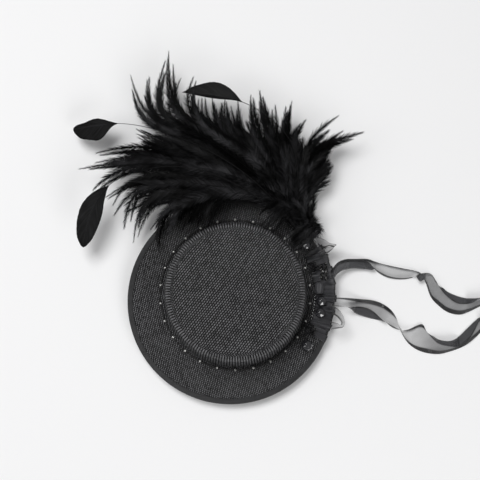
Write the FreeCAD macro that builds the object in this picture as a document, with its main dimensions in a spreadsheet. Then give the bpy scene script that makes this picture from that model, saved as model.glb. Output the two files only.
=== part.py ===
import FreeCAD, Part
import math
import os

import Sketcher
from FreeCAD import Placement, Rotation, Vector

# Small flat-topped hat worn on the side of the head.  +Z is up, the origin lies on the crown's
# axis at the underside of the felt base, and -Y is the front.  All sizes are millimetres.

SIZES = (
    ("felt_radius", 56.0, "radius of the felt base under the hat"),
    ("felt_thickness", 2.0, "thickness of the felt base"),
    ("brim_radius", 77.9, "radius of the brim cloth, inside its binding"),
    ("brim_shift_x", -3.8, "brim centre from the crown axis, along X"),
    ("brim_shift_y", -4.5, "brim centre from the crown axis, along Y"),
    ("brim_under", 2.1, "height of the underside of the brim"),
    ("brim_thickness", 1.2, "two bonded layers of woven straw cloth"),
    ("opening_radius", 50.0, "radius of the opening under the crown"),
    ("wire_radius", 0.5, "radius of the wire in the brim's edge"),
    ("binding_width", 2.6, "how far the edge binding reaches over the brim"),
    ("binding_cloth", 0.4, "thickness of the binding tape"),
    ("crown_base_radius", 56.0, "outer radius of the crown at the brim"),
    ("crown_top_radius", 52.0, "outer radius of the crown at the top"),
    ("crown_height", 30.0, "height of the crown above the brim"),
    ("form_wall", 1.2, "wall of the stiff form inside the crown"),
    ("crown_cloth", 0.7, "thickness of the cloth over the form"),
    ("cap_skirt", 4.0, "how far the top cloth turns down the side"),
    ("cord_ring_radius", 57.9, "centre line of the cord round the crown"),
    ("cord_radius", 0.6, "radius of that cord"),
    ("bead_radius", 1.25, "radius of a trim bead"),
    ("bead_count", 26.0, "trim beads round the crown"),
    ("root_x", 49.0, "feather root from the crown axis, along X"),
    ("root_y", 45.0, "feather root from the crown axis, along Y"),
    ("root_radius", 6.6, "radius of the wrapped feather root"),
    ("root_under", 4.5, "height of the underside of the feather root"),
    ("root_height", 7.3, "height of the wrapped feather root"),
    ("patch_thickness", 0.5, "felt patch under the feather root"),
    ("blade_thickness", 0.6, "thickness of a feather"),
    ("blade_width", 6.4, "widest part of a hackle feather"),
    ("layer_gap", 1.0, "height between layers of feathers at the root"),
    ("ribbon_width", 16.0, "width of the organza ribbon"),
    ("ribbon_thickness", 1.0, "thickness allowed for the ribbon"),
    ("ruffle_inner", 61.0, "inner radius of the pleated organza"),
    ("ruffle_outer", 77.0, "outer radius of the pleated organza"),
    ("ruffle_thickness", 1.7, "thickness of the pleated organza"),
    ("clip_width", 9.0, "width of a hair clip"),
    ("clip_plate", 0.8, "sheet thickness of a hair clip"),
    ("clip_mouth", 28.0, "length of a clip from pivot to tip"),
    ("clip_handle", 15.0, "length of a clip from pivot to handle end"),
    ("clip_depth", 7.2, "depth of a clip below the felt"),
    ("clip_pivot_drop", 3.0, "depth of the clip's pivot below the felt"),
    ("clip_pin_radius", 0.75, "radius of the clip's pivot pin"),
    ("clip_x", -8.0, "pivot of both clips along X"),
    ("clip_front_y", -20.0, "front clip along Y"),
    ("clip_back_y", 34.0, "back clip along Y"),
)

doc = FreeCAD.newDocument("fascinator")
sheet = doc.addObject("Spreadsheet::Sheet", "Sizes")
for row, (alias, value, meaning) in enumerate(SIZES, start=1):
    sheet.set(f"A{row}", meaning)
    sheet.set(f"B{row}", str(value))
    sheet.setAlias(f"B{row}", alias)
doc.recompute()

UP = Vector(0, 0, 1)
GAP = 0.1
pieces = []


def size(alias):
    """A driving size, read from the sheet."""
    return float(sheet.get(alias))


def heading(degrees):
    """Level unit vector in a direction counted from +X."""
    return Vector(math.cos(math.radians(degrees)), math.sin(math.radians(degrees)), 0)


def keep(piece, label):
    """Name a finished sub-part and put it on the list that is written out."""
    piece.Label = label
    pieces.append(piece)
    return piece


def bind(piece, **expressions):
    """Bind properties of a piece to cells; a double underscore stands for a dot."""
    for name, expression in expressions.items():
        piece.setExpression(name.replace("__", "."), expression)


def new_body(name, x="0", y="0", z="0"):
    """An empty body whose place is bound to the sheet."""
    body = doc.addObject("PartDesign::Body", name)
    bind(body, Placement__Base__x=x, Placement__Base__y=y, Placement__Base__z=z)
    return body


def new_sketch(body, plane, name):
    """A sketch on one of the body's own origin planes."""
    sketch = body.newObject("Sketcher::SketchObject", name)
    origin_plane = [item for item in body.Origin.OriginFeatures if item.Role == plane][0]
    sketch.AttachmentSupport = [(origin_plane, "")]
    sketch.MapMode = "FlatFace"
    return sketch


def tie_point(sketch, line, end, across, along):
    """Hold one end of a line at two distances from the sketch's origin, bound to the sheet."""
    rules = (("DistanceX", across, -2), ("DistanceY", along, -1))
    for kind, expression, axis in rules:
        value = float(sketch.evalExpression(expression))
        if abs(value) < 1e-9:
            sketch.addConstraint(Sketcher.Constraint("PointOnObject", line, end, axis))
        else:
            index = sketch.addConstraint(Sketcher.Constraint(kind, -1, 1, line, end, value))
            sketch.setExpression(f"Constraints[{index}]", expression)


def outline(body, plane, name, corners):
    """A closed outline of straight runs through corners given as pairs of expressions."""
    sketch = new_sketch(body, plane, name)
    places = []
    for across, along in corners:
        across_value = float(sketch.evalExpression(across))
        along_value = float(sketch.evalExpression(along))
        places.append(Vector(across_value, along_value, 0))
    count = len(places)
    for index in range(count):
        sketch.addGeometry(Part.LineSegment(places[index], places[(index + 1) % count]), False)
    for index in range(count):
        sketch.addConstraint(Sketcher.Constraint("Coincident", index, 2, (index + 1) % count, 1))
    for index, (across, along) in enumerate(corners):
        tie_point(sketch, index, 1, across, along)
    return sketch


def disc(body, name, radius, across="0"):
    """A round outline on the body's XY plane."""
    sketch = new_sketch(body, "XY_Plane", name)
    centre = Vector(float(sketch.evalExpression(across)), 0, 0)
    sketch.addGeometry(Part.Circle(centre, UP, float(sketch.evalExpression(radius))), False)
    tie_point(sketch, 0, 3, across, "0")
    index = sketch.addConstraint(Sketcher.Constraint("Radius", 0, float(sketch.evalExpression(radius))))
    sketch.setExpression(f"Constraints[{index}]", radius)
    return sketch


def revolve(body, sketch, name):
    """A full turn of an outline about the body's upright axis."""
    turn = body.newObject("PartDesign::Revolution", name)
    turn.Profile = sketch
    turn.ReferenceAxis = (sketch, ["V_Axis"])
    turn.Angle = 360
    return turn


def pad(body, sketch, name, length, both_ways=False):
    """An extrusion whose length is bound to the sheet."""
    block = body.newObject("PartDesign::Pad", name)
    block.Profile = sketch
    block.setExpression("Length", length)
    block.Midplane = both_ways
    return block


def solid_piece(name, shape, label=None):
    """A sub-part whose shape is worked out here from the sheet's sizes."""
    piece = doc.addObject("Part::Feature", name)
    piece.Shape = shape
    return keep(piece, label or name)


# ---------------------------------------------------------------- hat body

def felt_base():
    """Round felt pad that closes the hat below and lies against the hair."""
    body = new_body("FeltBase")
    pad(body, disc(body, "FeltOutline", "Sizes.felt_radius"), "FeltPad", "Sizes.felt_thickness")
    keep(body, "felt_base")


def brim():
    """Flat ring of stiff woven cloth, its centre a little off the crown's axis."""
    body = new_body("Brim", "Sizes.brim_shift_x", "Sizes.brim_shift_y", "Sizes.brim_under")
    plate = pad(body, disc(body, "BrimOutline", "Sizes.brim_radius"), "BrimPlate",
                "Sizes.brim_thickness")
    opening = new_sketch(body, "XY_Plane", "HeadOpening")
    crown_axis = Vector(-size("brim_shift_x"), -size("brim_shift_y"), 0)
    opening.addGeometry(Part.Circle(crown_axis, UP, size("opening_radius")), False)
    tie_point(opening, 0, 3, "-Sizes.brim_shift_x", "-Sizes.brim_shift_y")
    index = opening.addConstraint(Sketcher.Constraint("Radius", 0, size("opening_radius")))
    opening.setExpression(f"Constraints[{index}]", "Sizes.opening_radius")
    doc.recompute()
    whole = plate.Shape.Volume
    cut = body.newObject("PartDesign::Pocket", "HeadOpeningCut")
    cut.Profile = opening
    cut.Type = "ThroughAll"
    cut.Reversed = True
    doc.recompute()
    expected = whole - math.pi * size("opening_radius") ** 2 * size("brim_thickness")
    if abs(cut.Shape.Volume - expected) > 1:
        raise RuntimeError("the head opening is not cut")
    keep(body, "brim")


def brim_edge():
    """Wire round the brim's edge and the folded tape that holds it."""
    middle = "Sizes.brim_under + Sizes.brim_thickness / 2"
    wire = doc.addObject("Part::Torus", "BrimWire")
    bind(wire, Radius1=f"Sizes.brim_radius + Sizes.wire_radius + {GAP}",
         Radius2="Sizes.wire_radius", Placement__Base__x="Sizes.brim_shift_x",
         Placement__Base__y="Sizes.brim_shift_y", Placement__Base__z=middle)
    keep(wire, "brim_wire")

    body = new_body("BrimBinding", "Sizes.brim_shift_x", "Sizes.brim_shift_y", middle)
    inner = "(Sizes.brim_radius - Sizes.binding_width)"
    outer = f"(Sizes.brim_radius + 2 * Sizes.wire_radius + {2 * GAP})"
    half = f"(Sizes.brim_thickness / 2 + {GAP})"
    cloth = "Sizes.binding_cloth"
    corners = (
        (inner, f"{half} + {cloth}"),
        (outer, f"{half} + {cloth}"),
        (f"{outer} + {cloth}", half),
        (f"{outer} + {cloth}", f"-{half}"),
        (outer, f"-{half} - {cloth}"),
        (inner, f"-{half} - {cloth}"),
        (inner, f"-{half}"),
        (outer, f"-{half}"),
        (outer, half),
        (inner, half),
    )
    revolve(body, outline(body, "XZ_Plane", "BindingSection", corners), "BindingTurn")
    keep(body, "brim_binding")


def crown():
    """Stiff form with a cloth band round its side and a cloth cap over its top."""
    foot = f"(Sizes.brim_under + Sizes.brim_thickness + {GAP})"
    wall = "Sizes.form_wall"
    cloth = "Sizes.crown_cloth"
    lean = "((Sizes.crown_base_radius - Sizes.crown_top_radius) / Sizes.crown_height)"
    form_base = f"(Sizes.crown_base_radius - 2 * {cloth} - {GAP})"
    form_top = f"(Sizes.crown_top_radius - 2 * {cloth} - {GAP})"
    top = f"({foot} + Sizes.crown_height - {cloth})"

    form = new_body("CrownForm")
    corners = (
        (f"{form_base} - {wall}", foot),
        (form_base, foot),
        (form_top, f"{top} - 1.5"),
        (f"{form_top} - 1.5", top),
        ("0", top),
        ("0", f"{top} - {wall}"),
        (f"{form_top} - {wall} - 1", f"{top} - {wall}"),
        (f"{form_top} - {wall}", f"{top} - {wall} - 1"),
    )
    revolve(form, outline(form, "XZ_Plane", "FormSection", corners), "FormTurn")
    keep(form, "crown_form")

    band = new_body("CrownSide")
    reach = f"(Sizes.crown_height - Sizes.cap_skirt / 2)"
    corners = (
        (f"{form_base} + {GAP}", foot),
        (f"{form_base} + {GAP} + {cloth}", foot),
        (f"{form_base} + {GAP} + {cloth} - {lean} * {reach}", f"{foot} + {reach}"),
        (f"{form_base} + {GAP} - {lean} * {reach}", f"{foot} + {reach}"),
    )
    revolve(band, outline(band, "XZ_Plane", "SideSection", corners), "SideTurn")
    keep(band, "crown_side")

    cap = new_body("CrownTop")
    skirt = f"({foot} + Sizes.crown_height - Sizes.cap_skirt)"
    inner = f"(Sizes.crown_top_radius - {cloth})"
    drop = f"({lean} * Sizes.cap_skirt)"
    corners = (
        (f"{inner} + {drop} + {GAP}", skirt),
        (f"{inner} + {drop} + {cloth} + {GAP}", skirt),
        (f"{inner} + {cloth} + {GAP}", f"{top} - 0.9"),
        (f"{inner} - 0.7", f"{top} + {cloth}"),
        ("0", f"{top} + {cloth}"),
        ("0", f"{top} + {GAP / 2}"),
        (f"{inner} - 1.2", f"{top} + {GAP / 2}"),
        (f"{inner} + 0.35", f"{top} - 1.3"),
    )
    revolve(cap, outline(cap, "XZ_Plane", "CapSection", corners), "CapTurn")
    keep(cap, "crown_top")


def threaded_bead(place, way):
    """Small barrel bead with its bore along a direction."""
    bore = size("cord_radius") + 0.06
    full = size("bead_radius")
    section = ((bore, -0.95), (0.8 * full, -1.1), (full, -0.5), (full, 0.5), (0.8 * full, 1.1),
               (bore, 0.95))
    points = [Vector(radius, 0, along) for radius, along in section]
    face = Part.Face(Part.makePolygon(points + points[:1]))
    bead = face.revolve(Vector(0, 0, 0), UP, 360)
    bead.Placement = Placement(place, Rotation(UP, way))
    return bead


def crown_trim():
    """Cord round the foot of the crown with beads threaded on it at even steps."""
    height = "Sizes.brim_under + Sizes.brim_thickness + Sizes.bead_radius + 0.1"
    cord = doc.addObject("Part::Torus", "CrownCord")
    bind(cord, Radius1="Sizes.cord_ring_radius", Radius2="Sizes.cord_radius",
         Placement__Base__z=height)
    keep(cord, "crown_cord")

    level = size("brim_under") + size("brim_thickness") + size("bead_radius") + 0.1
    ring = size("cord_ring_radius")
    count = int(size("bead_count"))
    beads = []
    for index in range(count):
        turn = 360 * (index + 0.5) / count
        beads.append(threaded_bead(heading(turn) * ring + UP * level, heading(turn + 90)))
    solid_piece("TrimBeads", Part.makeCompound(beads), "trim_beads")


# ---------------------------------------------------------------- feathers

ROOT = Vector(size("root_x"), size("root_y"), 0)
FAN_REACH = 200.0
# Where the fan's feathers end: direction from the root in degrees, and reach in millimetres.
FAN_EDGE = ((58, 92), (88, 90), (107, 114), (127, 172), (150, 160), (165, 170), (178, 133),
            (188, 112))
# The same directions with the direction in which each feather leaves the root.
FAN_START = ((58, 69), (88, 91), (107, 105), (127, 119), (150, 130), (165, 136), (178, 140),
             (188, 143))
FAN_LAYERS = 4
FAN_GROUPS = ("hackles_right", "hackles_upper_right", "hackles_top", "hackles_upper_left",
              "hackles_left", "hackles_lower_left")
GROUP_BLADES = 2


def along_table(table, at):
    """Value of a table of pairs at a place, on straight runs between its rows."""
    for (low, low_value), (high, high_value) in zip(table, table[1:]):
        if at <= high:
            share = (at - low) / (high - low)
            return low_value + share * (high_value - low_value)
    return table[-1][1]


def fan_height(place, layer):
    """Height of a layer of feathers: it arches over from the root and comes down at the tips."""
    share = min((place - ROOT).Length / FAN_REACH, 1)
    rise = 6 + 4.5 * layer
    start = size("root_under") + 0.4 + size("layer_gap") * layer
    return start + rise * 4 * share * (1 - share)


def ruled_strip(sections):
    """Closed solid through four-cornered sections, joined by straight rulings."""
    wires = [Part.makePolygon(corners + corners[:1]) for corners in sections]
    strip = Part.makeLoft(wires, True, True)
    if strip.Volume < 0:
        strip.reverse()
    return strip


def curve_point(start, control, end, share):
    """Point and level direction on a curve with one control point."""
    back = 1 - share
    place = start * back ** 2 + control * (2 * back * share) + end * share ** 2
    way = (control - start) * (2 * back) + (end - control) * (2 * share)
    return place, way.normalize()


def feather(start, control, end, layer, widths):
    """Thin curved blade on one layer; widths holds pairs of share of length and width."""
    half = size("blade_thickness") / 2
    sections = []
    for share, width in widths:
        place, way = curve_point(start, control, end, share)
        place = place + UP * fan_height(place, layer)
        side = UP.cross(way) * (width / 2)
        sections.append([place - side - UP * half, place + side - UP * half,
                         place + side + UP * half, place - side + UP * half])
    return ruled_strip(sections)


def hackle_widths():
    """A slim feather: bare quill, widest in its middle, and a fine point."""
    wide = size("blade_width")
    return ((0, 0.3), (0.1, 0.4), (0.25, 0.5 * wide), (0.45, 0.9 * wide), (0.65, wide),
            (0.82, 0.7 * wide), (0.93, 0.35 * wide), (1, 0.5))


def hackles():
    """The fan of hackle feathers, six groups from the right round to the lower left."""
    first = FAN_EDGE[0][0]
    last = FAN_EDGE[-1][0]
    steps = len(FAN_GROUPS) * GROUP_BLADES
    for group, name in enumerate(FAN_GROUPS):
        blades = []
        for layer in range(FAN_LAYERS):
            for blade in range(GROUP_BLADES):
                share = (group * GROUP_BLADES + blade + (layer + 0.5) / FAN_LAYERS) / steps
                direction = first + share * (last - first)
                reach = along_table(FAN_EDGE, direction) * (1 - 0.05 * layer)
                leave = along_table(FAN_START, direction)
                start = ROOT + heading(leave) * (size("root_radius") - 0.6)
                end = ROOT + heading(direction) * reach
                bend = math.radians(direction - leave)
                control = start + heading(leave) * (reach / 2 / math.cos(bend))
                blades.append(feather(start, control, end, layer, hackle_widths()))
        solid_piece(name.title().replace("_", ""), Part.makeCompound(blades), name)


def leaf_feathers():
    """Three stripped quills whose tips are trimmed to a leaf."""
    places = (
        ("leaf_feather_left", 118, Vector(-30, 142, 0), Vector(-127, 130, 0), 0.80),
        ("leaf_feather_top", 92, Vector(46, 140, 0), Vector(-39, 157, 0), 0.66),
        ("leaf_feather_lower", 150, Vector(-88, 112, 0), Vector(-119, 35, 0), 0.72),
    )
    for name, leave, control, tip, bare in places:
        start = ROOT + heading(leave) * (size("root_radius") - 0.6)
        leaf = 1 - bare
        widths = ((0, 0.9), (0.2, 0.9), (0.4, 0.9), (bare - 0.12, 0.9), (bare, 1.0),
                  (bare + 0.25 * leaf, 9.0), (bare + 0.5 * leaf, 13.0),
                  (bare + 0.8 * leaf, 9.5), (1, 1.0))
        blade = feather(start, control, tip, FAN_LAYERS, widths)
        solid_piece(name.title().replace("_", ""), blade, name)


def feather_root():
    """Felt patch on the brim and the wrapped, glued root that the quills come out of."""
    patch_under = f"Sizes.brim_under + Sizes.brim_thickness + Sizes.binding_cloth + {2 * GAP}"
    patch = new_body("FeatherPatch", "Sizes.root_x", "Sizes.root_y", patch_under)
    pad(patch, disc(patch, "PatchOutline", "Sizes.root_radius"), "PatchPad",
        "Sizes.patch_thickness")
    keep(patch, "feather_patch")

    root = new_body("QuillBinding", "Sizes.root_x", "Sizes.root_y", "Sizes.root_under")
    block = pad(root, disc(root, "RootOutline", "Sizes.root_radius"), "RootPad",
                "Sizes.root_height")
    doc.recompute()
    top = [f"Edge{number}" for number, edge in enumerate(block.Shape.Edges, start=1)
           if edge.CenterOfMass.z > size("root_height") - 0.01]
    rounding = root.newObject("PartDesign::Fillet", "RootRounding")
    rounding.Base = (block, top)
    rounding.Radius = 1.2
    keep(root, "quill_binding")


# ---------------------------------------------------------------- ornaments

def rosette(label, place, radius, petals, height):
    """Flat flower of round petals about a raised middle."""
    name = label.title().replace("_", "")
    body = doc.addObject("PartDesign::Body", name)
    body.Placement = Placement(place, Rotation())
    petal = pad(body, disc(body, f"{name}Petal", f"{radius * 0.36}", f"{radius * 0.62}"),
                f"{name}PetalPad", f"{height * 0.6}")
    ring = body.newObject("PartDesign::PolarPattern", f"{name}Petals")
    ring.Originals = [petal]
    ring.Axis = (petal.Profile[0], ["N_Axis"])
    ring.Angle = 360
    ring.Occurrences = petals
    body.Tip = ring
    pad(body, disc(body, f"{name}Heart", f"{radius * 0.45}"), f"{name}HeartPad", f"{height}")
    keep(body, label)


def cut_stone(label, place, radius, height, sides):
    """Faceted stone: flat back, girdle and a flat table, joined by plane facets."""
    levels = ((0, 0.62), (0.38, 1.0), (0.58, 1.0), (1, 0.56))
    rings = []
    for share, part in levels:
        ring = [place + heading(360 * step / sides) * (radius * part) + UP * (height * share)
                for step in range(sides)]
        rings.append(Part.makePolygon(ring + ring[:1]))
    solid_piece(label.title().replace("_", ""), Part.makeLoft(rings, True, True), label)


def ornaments():
    """Flowers, stones, sequins and beads in a row beside the crown."""
    rosette("lace_flower", Vector(54.5, 36.5, 12.0), 6.5, 6, 2.4)
    rosette("rosette_upper", Vector(59.4, 21.0, 6.2), 5.4, 5, 3.0)
    rosette("rosette_lower", Vector(57.2, -27.8, 6.2), 5.4, 5, 3.0)
    cut_stone("jewel_flower", Vector(54.5, 36.5, 14.5), 3.2, 3.0, 8)
    cut_stone("jewel_upper", Vector(66.0, -5.6, 5.7), 3.9, 4.6, 8)
    cut_stone("jewel_lower", Vector(65.2, -14.6, 5.7), 3.9, 4.6, 8)
    cut_stone("jewel_bead", Vector(54.9, -39.4, 3.6), 4.7, 8.2, 10)

    sequins = []
    for step in range(6):
        across = 66.4 if step % 2 == 0 else 69.6
        sequins.append(Part.makeCylinder(1.4, 0.4, Vector(across, 23.0 - 2.3 * step, 8.0)))
    solid_piece("SequinStrand", Part.makeCompound(sequins), "sequin_strand")

    beads = []
    for step in range(9):
        spot = heading(-1.6 - 2.0 * step) * 61.2 + UP * 6.5
        beads.append(Part.makeSphere(0.9, spot))
    solid_piece("BeadStrand", Part.makeCompound(beads), "bead_strand")


# ---------------------------------------------------------------- ribbon

def ruffle():
    """Pleated organza that lies on the brim under the ornaments."""
    low = size("brim_under") + size("brim_thickness") + size("binding_cloth") + 2 * GAP
    outer = Part.makeCylinder(size("ruffle_outer"), size("ruffle_thickness"),
                              Vector(0, 0, low), UP, 58)
    inner = Part.makeCylinder(size("ruffle_inner"), size("ruffle_thickness") + 2,
                              Vector(0, 0, low - 1), UP, 360)
    sector = outer.cut(inner)
    sector.rotate(Vector(0, 0, 0), UP, -29)
    solid_piece("OrganzaRuffle", sector, "organza_ruffle")


def bow():
    """Knot and two short loops of the bow that the tails hang from."""
    knot = doc.addObject("Part::Box", "BowKnot")
    knot.Length = 6.6
    knot.Width = 9
    knot.Height = 4.4
    knot.Placement = Placement(Vector(61.2, 0, 5.9), Rotation())
    rounding = doc.addObject("Part::Fillet", "BowKnotRounding")
    rounding.Base = knot
    rounding.Edges = [(number, 1.4, 1.4) for number in range(1, 13)]
    keep(rounding, "bow_knot")

    for label, direction, start in (("bow_loop_upper", 28, 70), ("bow_loop_lower", -20, 72)):
        length = 16.0
        half = size("ribbon_width") / 2 - 0.5
        middle = heading(direction)
        side = UP.cross(middle)
        sections = []
        for share, tall in ((0, 1.2), (0.3, 3.2), (0.7, 3.6), (1, 1.4)):
            place = middle * (start + length * share) + UP * 7.6
            wide = side * (half * (0.8 + 0.2 * math.sin(math.pi * share)))
            sections.append([place - wide - UP * tall / 2, place + wide - UP * tall / 2,
                             place + wide + UP * tall / 2, place - wide + UP * tall / 2])
        solid_piece(label.title().replace("_", ""), ruled_strip(sections), label)


# Each tail's centre line: X, Y, width, roll in degrees, and height of its lowest edge above
# the surface that the hat lies on.
TAIL_UPPER = (
    (68.9, 7.0, 3.4, 0, 13.1),
    (75.1, 15.6, 10, 0, 13.1),
    (88.3, 22.8, 16, 20, 4.0),
    (99.6, 24.0, 16, 35, 0),
    (111, 21.0, 16, 25, 0),
    (125.6, 16.4, 16, 10, 0),
    (137, 15.4, 16, 20, 0),
    (146, 13.6, 16, 45, 0),
    (152, 8.4, 16, 55, 0),
    (156.4, 0.6, 16, 45, 0),
    (163.4, -6.6, 16, 25, 0),
    (173.8, -10.6, 16, 20, 0),
    (184, -9.4, 16, 35, 0),
    (193, -4.0, 16, 45, 0),
    (203, 1.6, 16, 35, 0),
    (215, 4.6, 16, 20, 0),
    (228, 4.0, 16, 10, 0),
    (240, 0.6, 16, 5, 0),
)
TAIL_LOWER = (
    (68.9, 2.0, 3.4, 0, 13.1),
    (77.5, -4.6, 10, 0, 13.1),
    (92.2, -6.2, 16, 20, 3.0),
    (103, -11.0, 16, 15, 0),
    (115.5, -17.6, 16, 30, 0),
    (126.5, -26.0, 16, 50, 0),
    (136, -33.0, 16, 30, 0),
    (145.5, -38.4, 16, 15, 0),
    (156.5, -41.6, 16, 25, 0),
    (168.5, -39.4, 16, 40, 0),
    (178.6, -32.4, 16, 50, 0),
    (188, -25.0, 16, 40, 0),
    (199, -20.6, 16, 25, 0),
    (212, -20.4, 16, 15, 0),
    (225, -23.6, 16, 10, 0),
    (236, -28.4, 16, 5, 0),
)


def tail(label, points):
    """One loose ribbon tail: a strip that rolls about its centre line as it goes."""
    thin = size("ribbon_thickness") / 2
    surface = -size("clip_depth")
    middles = []
    for x, y, width, roll, clear in points:
        lift = width / 2 * math.sin(math.radians(roll)) + thin
        middles.append(Vector(x, y, surface + clear + lift))
    sections = []
    for index, (x, y, width, roll, clear) in enumerate(points):
        before = middles[max(index - 1, 0)]
        after = middles[min(index + 1, len(points) - 1)]
        way = after - before
        way.z = 0
        way.normalize()
        lean = Rotation(way, roll)
        side = lean.multVec(UP.cross(way)) * (width / 2)
        thick = lean.multVec(UP) * thin
        place = middles[index]
        sections.append([place - side - thick, place + side - thick,
                         place + side + thick, place - side + thick])
    solid_piece(label.title().replace("_", ""), ruled_strip(sections), label)


# ---------------------------------------------------------------- hair clips

PIVOT = Vector(0, 0, -size("clip_pivot_drop"))
EAR_RADIUS = 1.6
EAR_SHEET = 0.6


def side_plate(corners, low, width):
    """Plate with a given side view (X, Z), from one Y over a width."""
    points = [Vector(x, low, z) for x, z in corners]
    face = Part.Face(Part.makePolygon(points + points[:1]))
    return face.extrude(Vector(0, width, 0))


def ear(inner, reach_z, slope_x):
    """Pair of round-ended ears with a hole for the pin, reaching to a plate."""
    both = None
    for low in (inner, -inner - EAR_SHEET):
        round_end = Part.makeCylinder(EAR_RADIUS, EAR_SHEET, Vector(0, low, PIVOT.z),
                                      Vector(0, 1, 0))
        web = side_plate(((-EAR_RADIUS, PIVOT.z), (EAR_RADIUS, PIVOT.z),
                          (EAR_RADIUS + slope_x, reach_z), (-EAR_RADIUS - slope_x, reach_z)),
                         low, EAR_SHEET)
        one = round_end.fuse(web)
        both = one if both is None else both.fuse(one)
    return both


def clip(label, y):
    """Spring hair clip: upper jaw against the felt, lower jaw, pin and torsion spring."""
    place = Placement(Vector(size("clip_x"), y, 0), Rotation())
    half = size("clip_width") / 2
    sheet_thickness = size("clip_plate")
    mouth = size("clip_mouth")
    handle = size("clip_handle")
    depth = size("clip_depth")
    pin_radius = size("clip_pin_radius")
    bore = Part.makeCylinder(pin_radius + 0.05, 2 * half + 2, Vector(0, -half - 1, PIVOT.z),
                             Vector(0, 1, 0))

    upper = side_plate(((-handle, -GAP / 2), (mouth, -GAP / 2), (mouth, -sheet_thickness),
                        (-handle, -sheet_thickness)), -half, 2 * half)
    upper = upper.fuse(ear(half - EAR_SHEET - 0.3, -sheet_thickness / 2, 0.8)).cut(bore)

    knee = depth - 1.4
    lower = side_plate(((mouth, -1.0), (mouth, -1.7), (0, -knee), (-handle, -depth),
                        (-handle, -depth + sheet_thickness), (0, -knee + sheet_thickness)),
                       -half, 2 * half)
    lower = lower.fuse(ear(half - 2 * EAR_SHEET - 0.6, -knee + sheet_thickness / 2, 0.4))
    lower = lower.cut(bore)

    pin = Part.makeCylinder(pin_radius, 2 * half + 0.6, Vector(0, -half - 0.3, PIVOT.z),
                            Vector(0, 1, 0))
    for low in (-half - 0.9, half + 0.3):
        head = Part.makeCylinder(pin_radius + 0.5, 0.6, Vector(0, low, PIVOT.z),
                                 Vector(0, 1, 0))
        pin = pin.fuse(head)

    coil_radius = pin_radius + 0.65
    wire = 0.28
    turns = 4
    rings = None
    for turn in range(turns):
        across = (turn - (turns - 1) / 2) * (2 * wire - 0.04)
        ring = Part.makeTorus(coil_radius, wire, Vector(0, across, PIVOT.z), Vector(0, 1, 0))
        rings = ring if rings is None else rings.fuse(ring)
    end = (turns - 1) / 2 * (2 * wire - 0.04)
    upper_leg_start = Vector(0, end, PIVOT.z + coil_radius)
    upper_leg_end = Vector(-9, end, -sheet_thickness - wire - 0.15)
    lower_leg_start = Vector(0, -end, PIVOT.z - coil_radius)
    lower_leg_end = Vector(-9, -end, -knee + sheet_thickness - 0.3)
    for start, finish in ((upper_leg_start, upper_leg_end), (lower_leg_start, lower_leg_end)):
        way = finish - start
        rings = rings.fuse(Part.makeCylinder(wire, way.Length, start, way))

    for name, shape in (("upper_jaw", upper), ("lower_jaw", lower), ("pin", pin),
                        ("spring", rings)):
        piece = solid_piece(f"{label}_{name}".title().replace("_", ""), shape,
                            f"{label}_{name}")
        piece.Placement = place


def clip_stitches():
    """Thread staples that tie each clip's upper jaw to the felt."""
    half = size("clip_width") / 2
    low = size("clip_plate") + 0.3
    staples = []
    for y in (size("clip_front_y"), size("clip_back_y")):
        for x in (-12.5, 9.0, 22.0):
            corner = Vector(size("clip_x") + x, y - half - 0.5, -low)
            outside = Part.makeBox(0.8, 2 * half + 1.0, low - GAP / 2, corner)
            inside = Part.makeBox(2.0, 2 * half + 0.2, low - 0.2, corner + Vector(-0.6, 0.4, 0.2))
            staples.append(outside.cut(inside))
    solid_piece("ClipStitches", Part.makeCompound(staples), "clip_stitches")


# ---------------------------------------------------------------- build

felt_base()
brim()
brim_edge()
crown()
crown_trim()
feather_root()
hackles()
leaf_feathers()
ornaments()
ruffle()
bow()
tail("ribbon_tail_upper", TAIL_UPPER)
tail("ribbon_tail_lower", TAIL_LOWER)
clip("clip_front", size("clip_front_y"))
clip("clip_back", size("clip_back_y"))
clip_stitches()
doc.recompute()

for item in doc.Objects:
    if "Invalid" in item.State or "Error" in item.State:
        raise RuntimeError(f"{item.Name} failed: {item.State}")
os.makedirs("parts", exist_ok=True)
for piece in pieces:
    shape = piece.Shape
    if shape.isNull() or not shape.isValid():
        raise RuntimeError(f"{piece.Label} has no valid shape")
    if shape.Volume <= 0 or not shape.Solids:
        raise RuntimeError(f"{piece.Label} has no volume")
    shape.exportStep(f"parts/{piece.Label}.step")
    print(f"{piece.Label}: {len(shape.Solids)} solids, {shape.Volume:.0f} mm3")
print(len(pieces), "sub-parts")
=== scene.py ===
import math
import random

import bmesh
import bpy
from bpy.props import FloatProperty, FloatVectorProperty, IntProperty, PointerProperty
from mathutils import Matrix, Vector, noise


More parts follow.
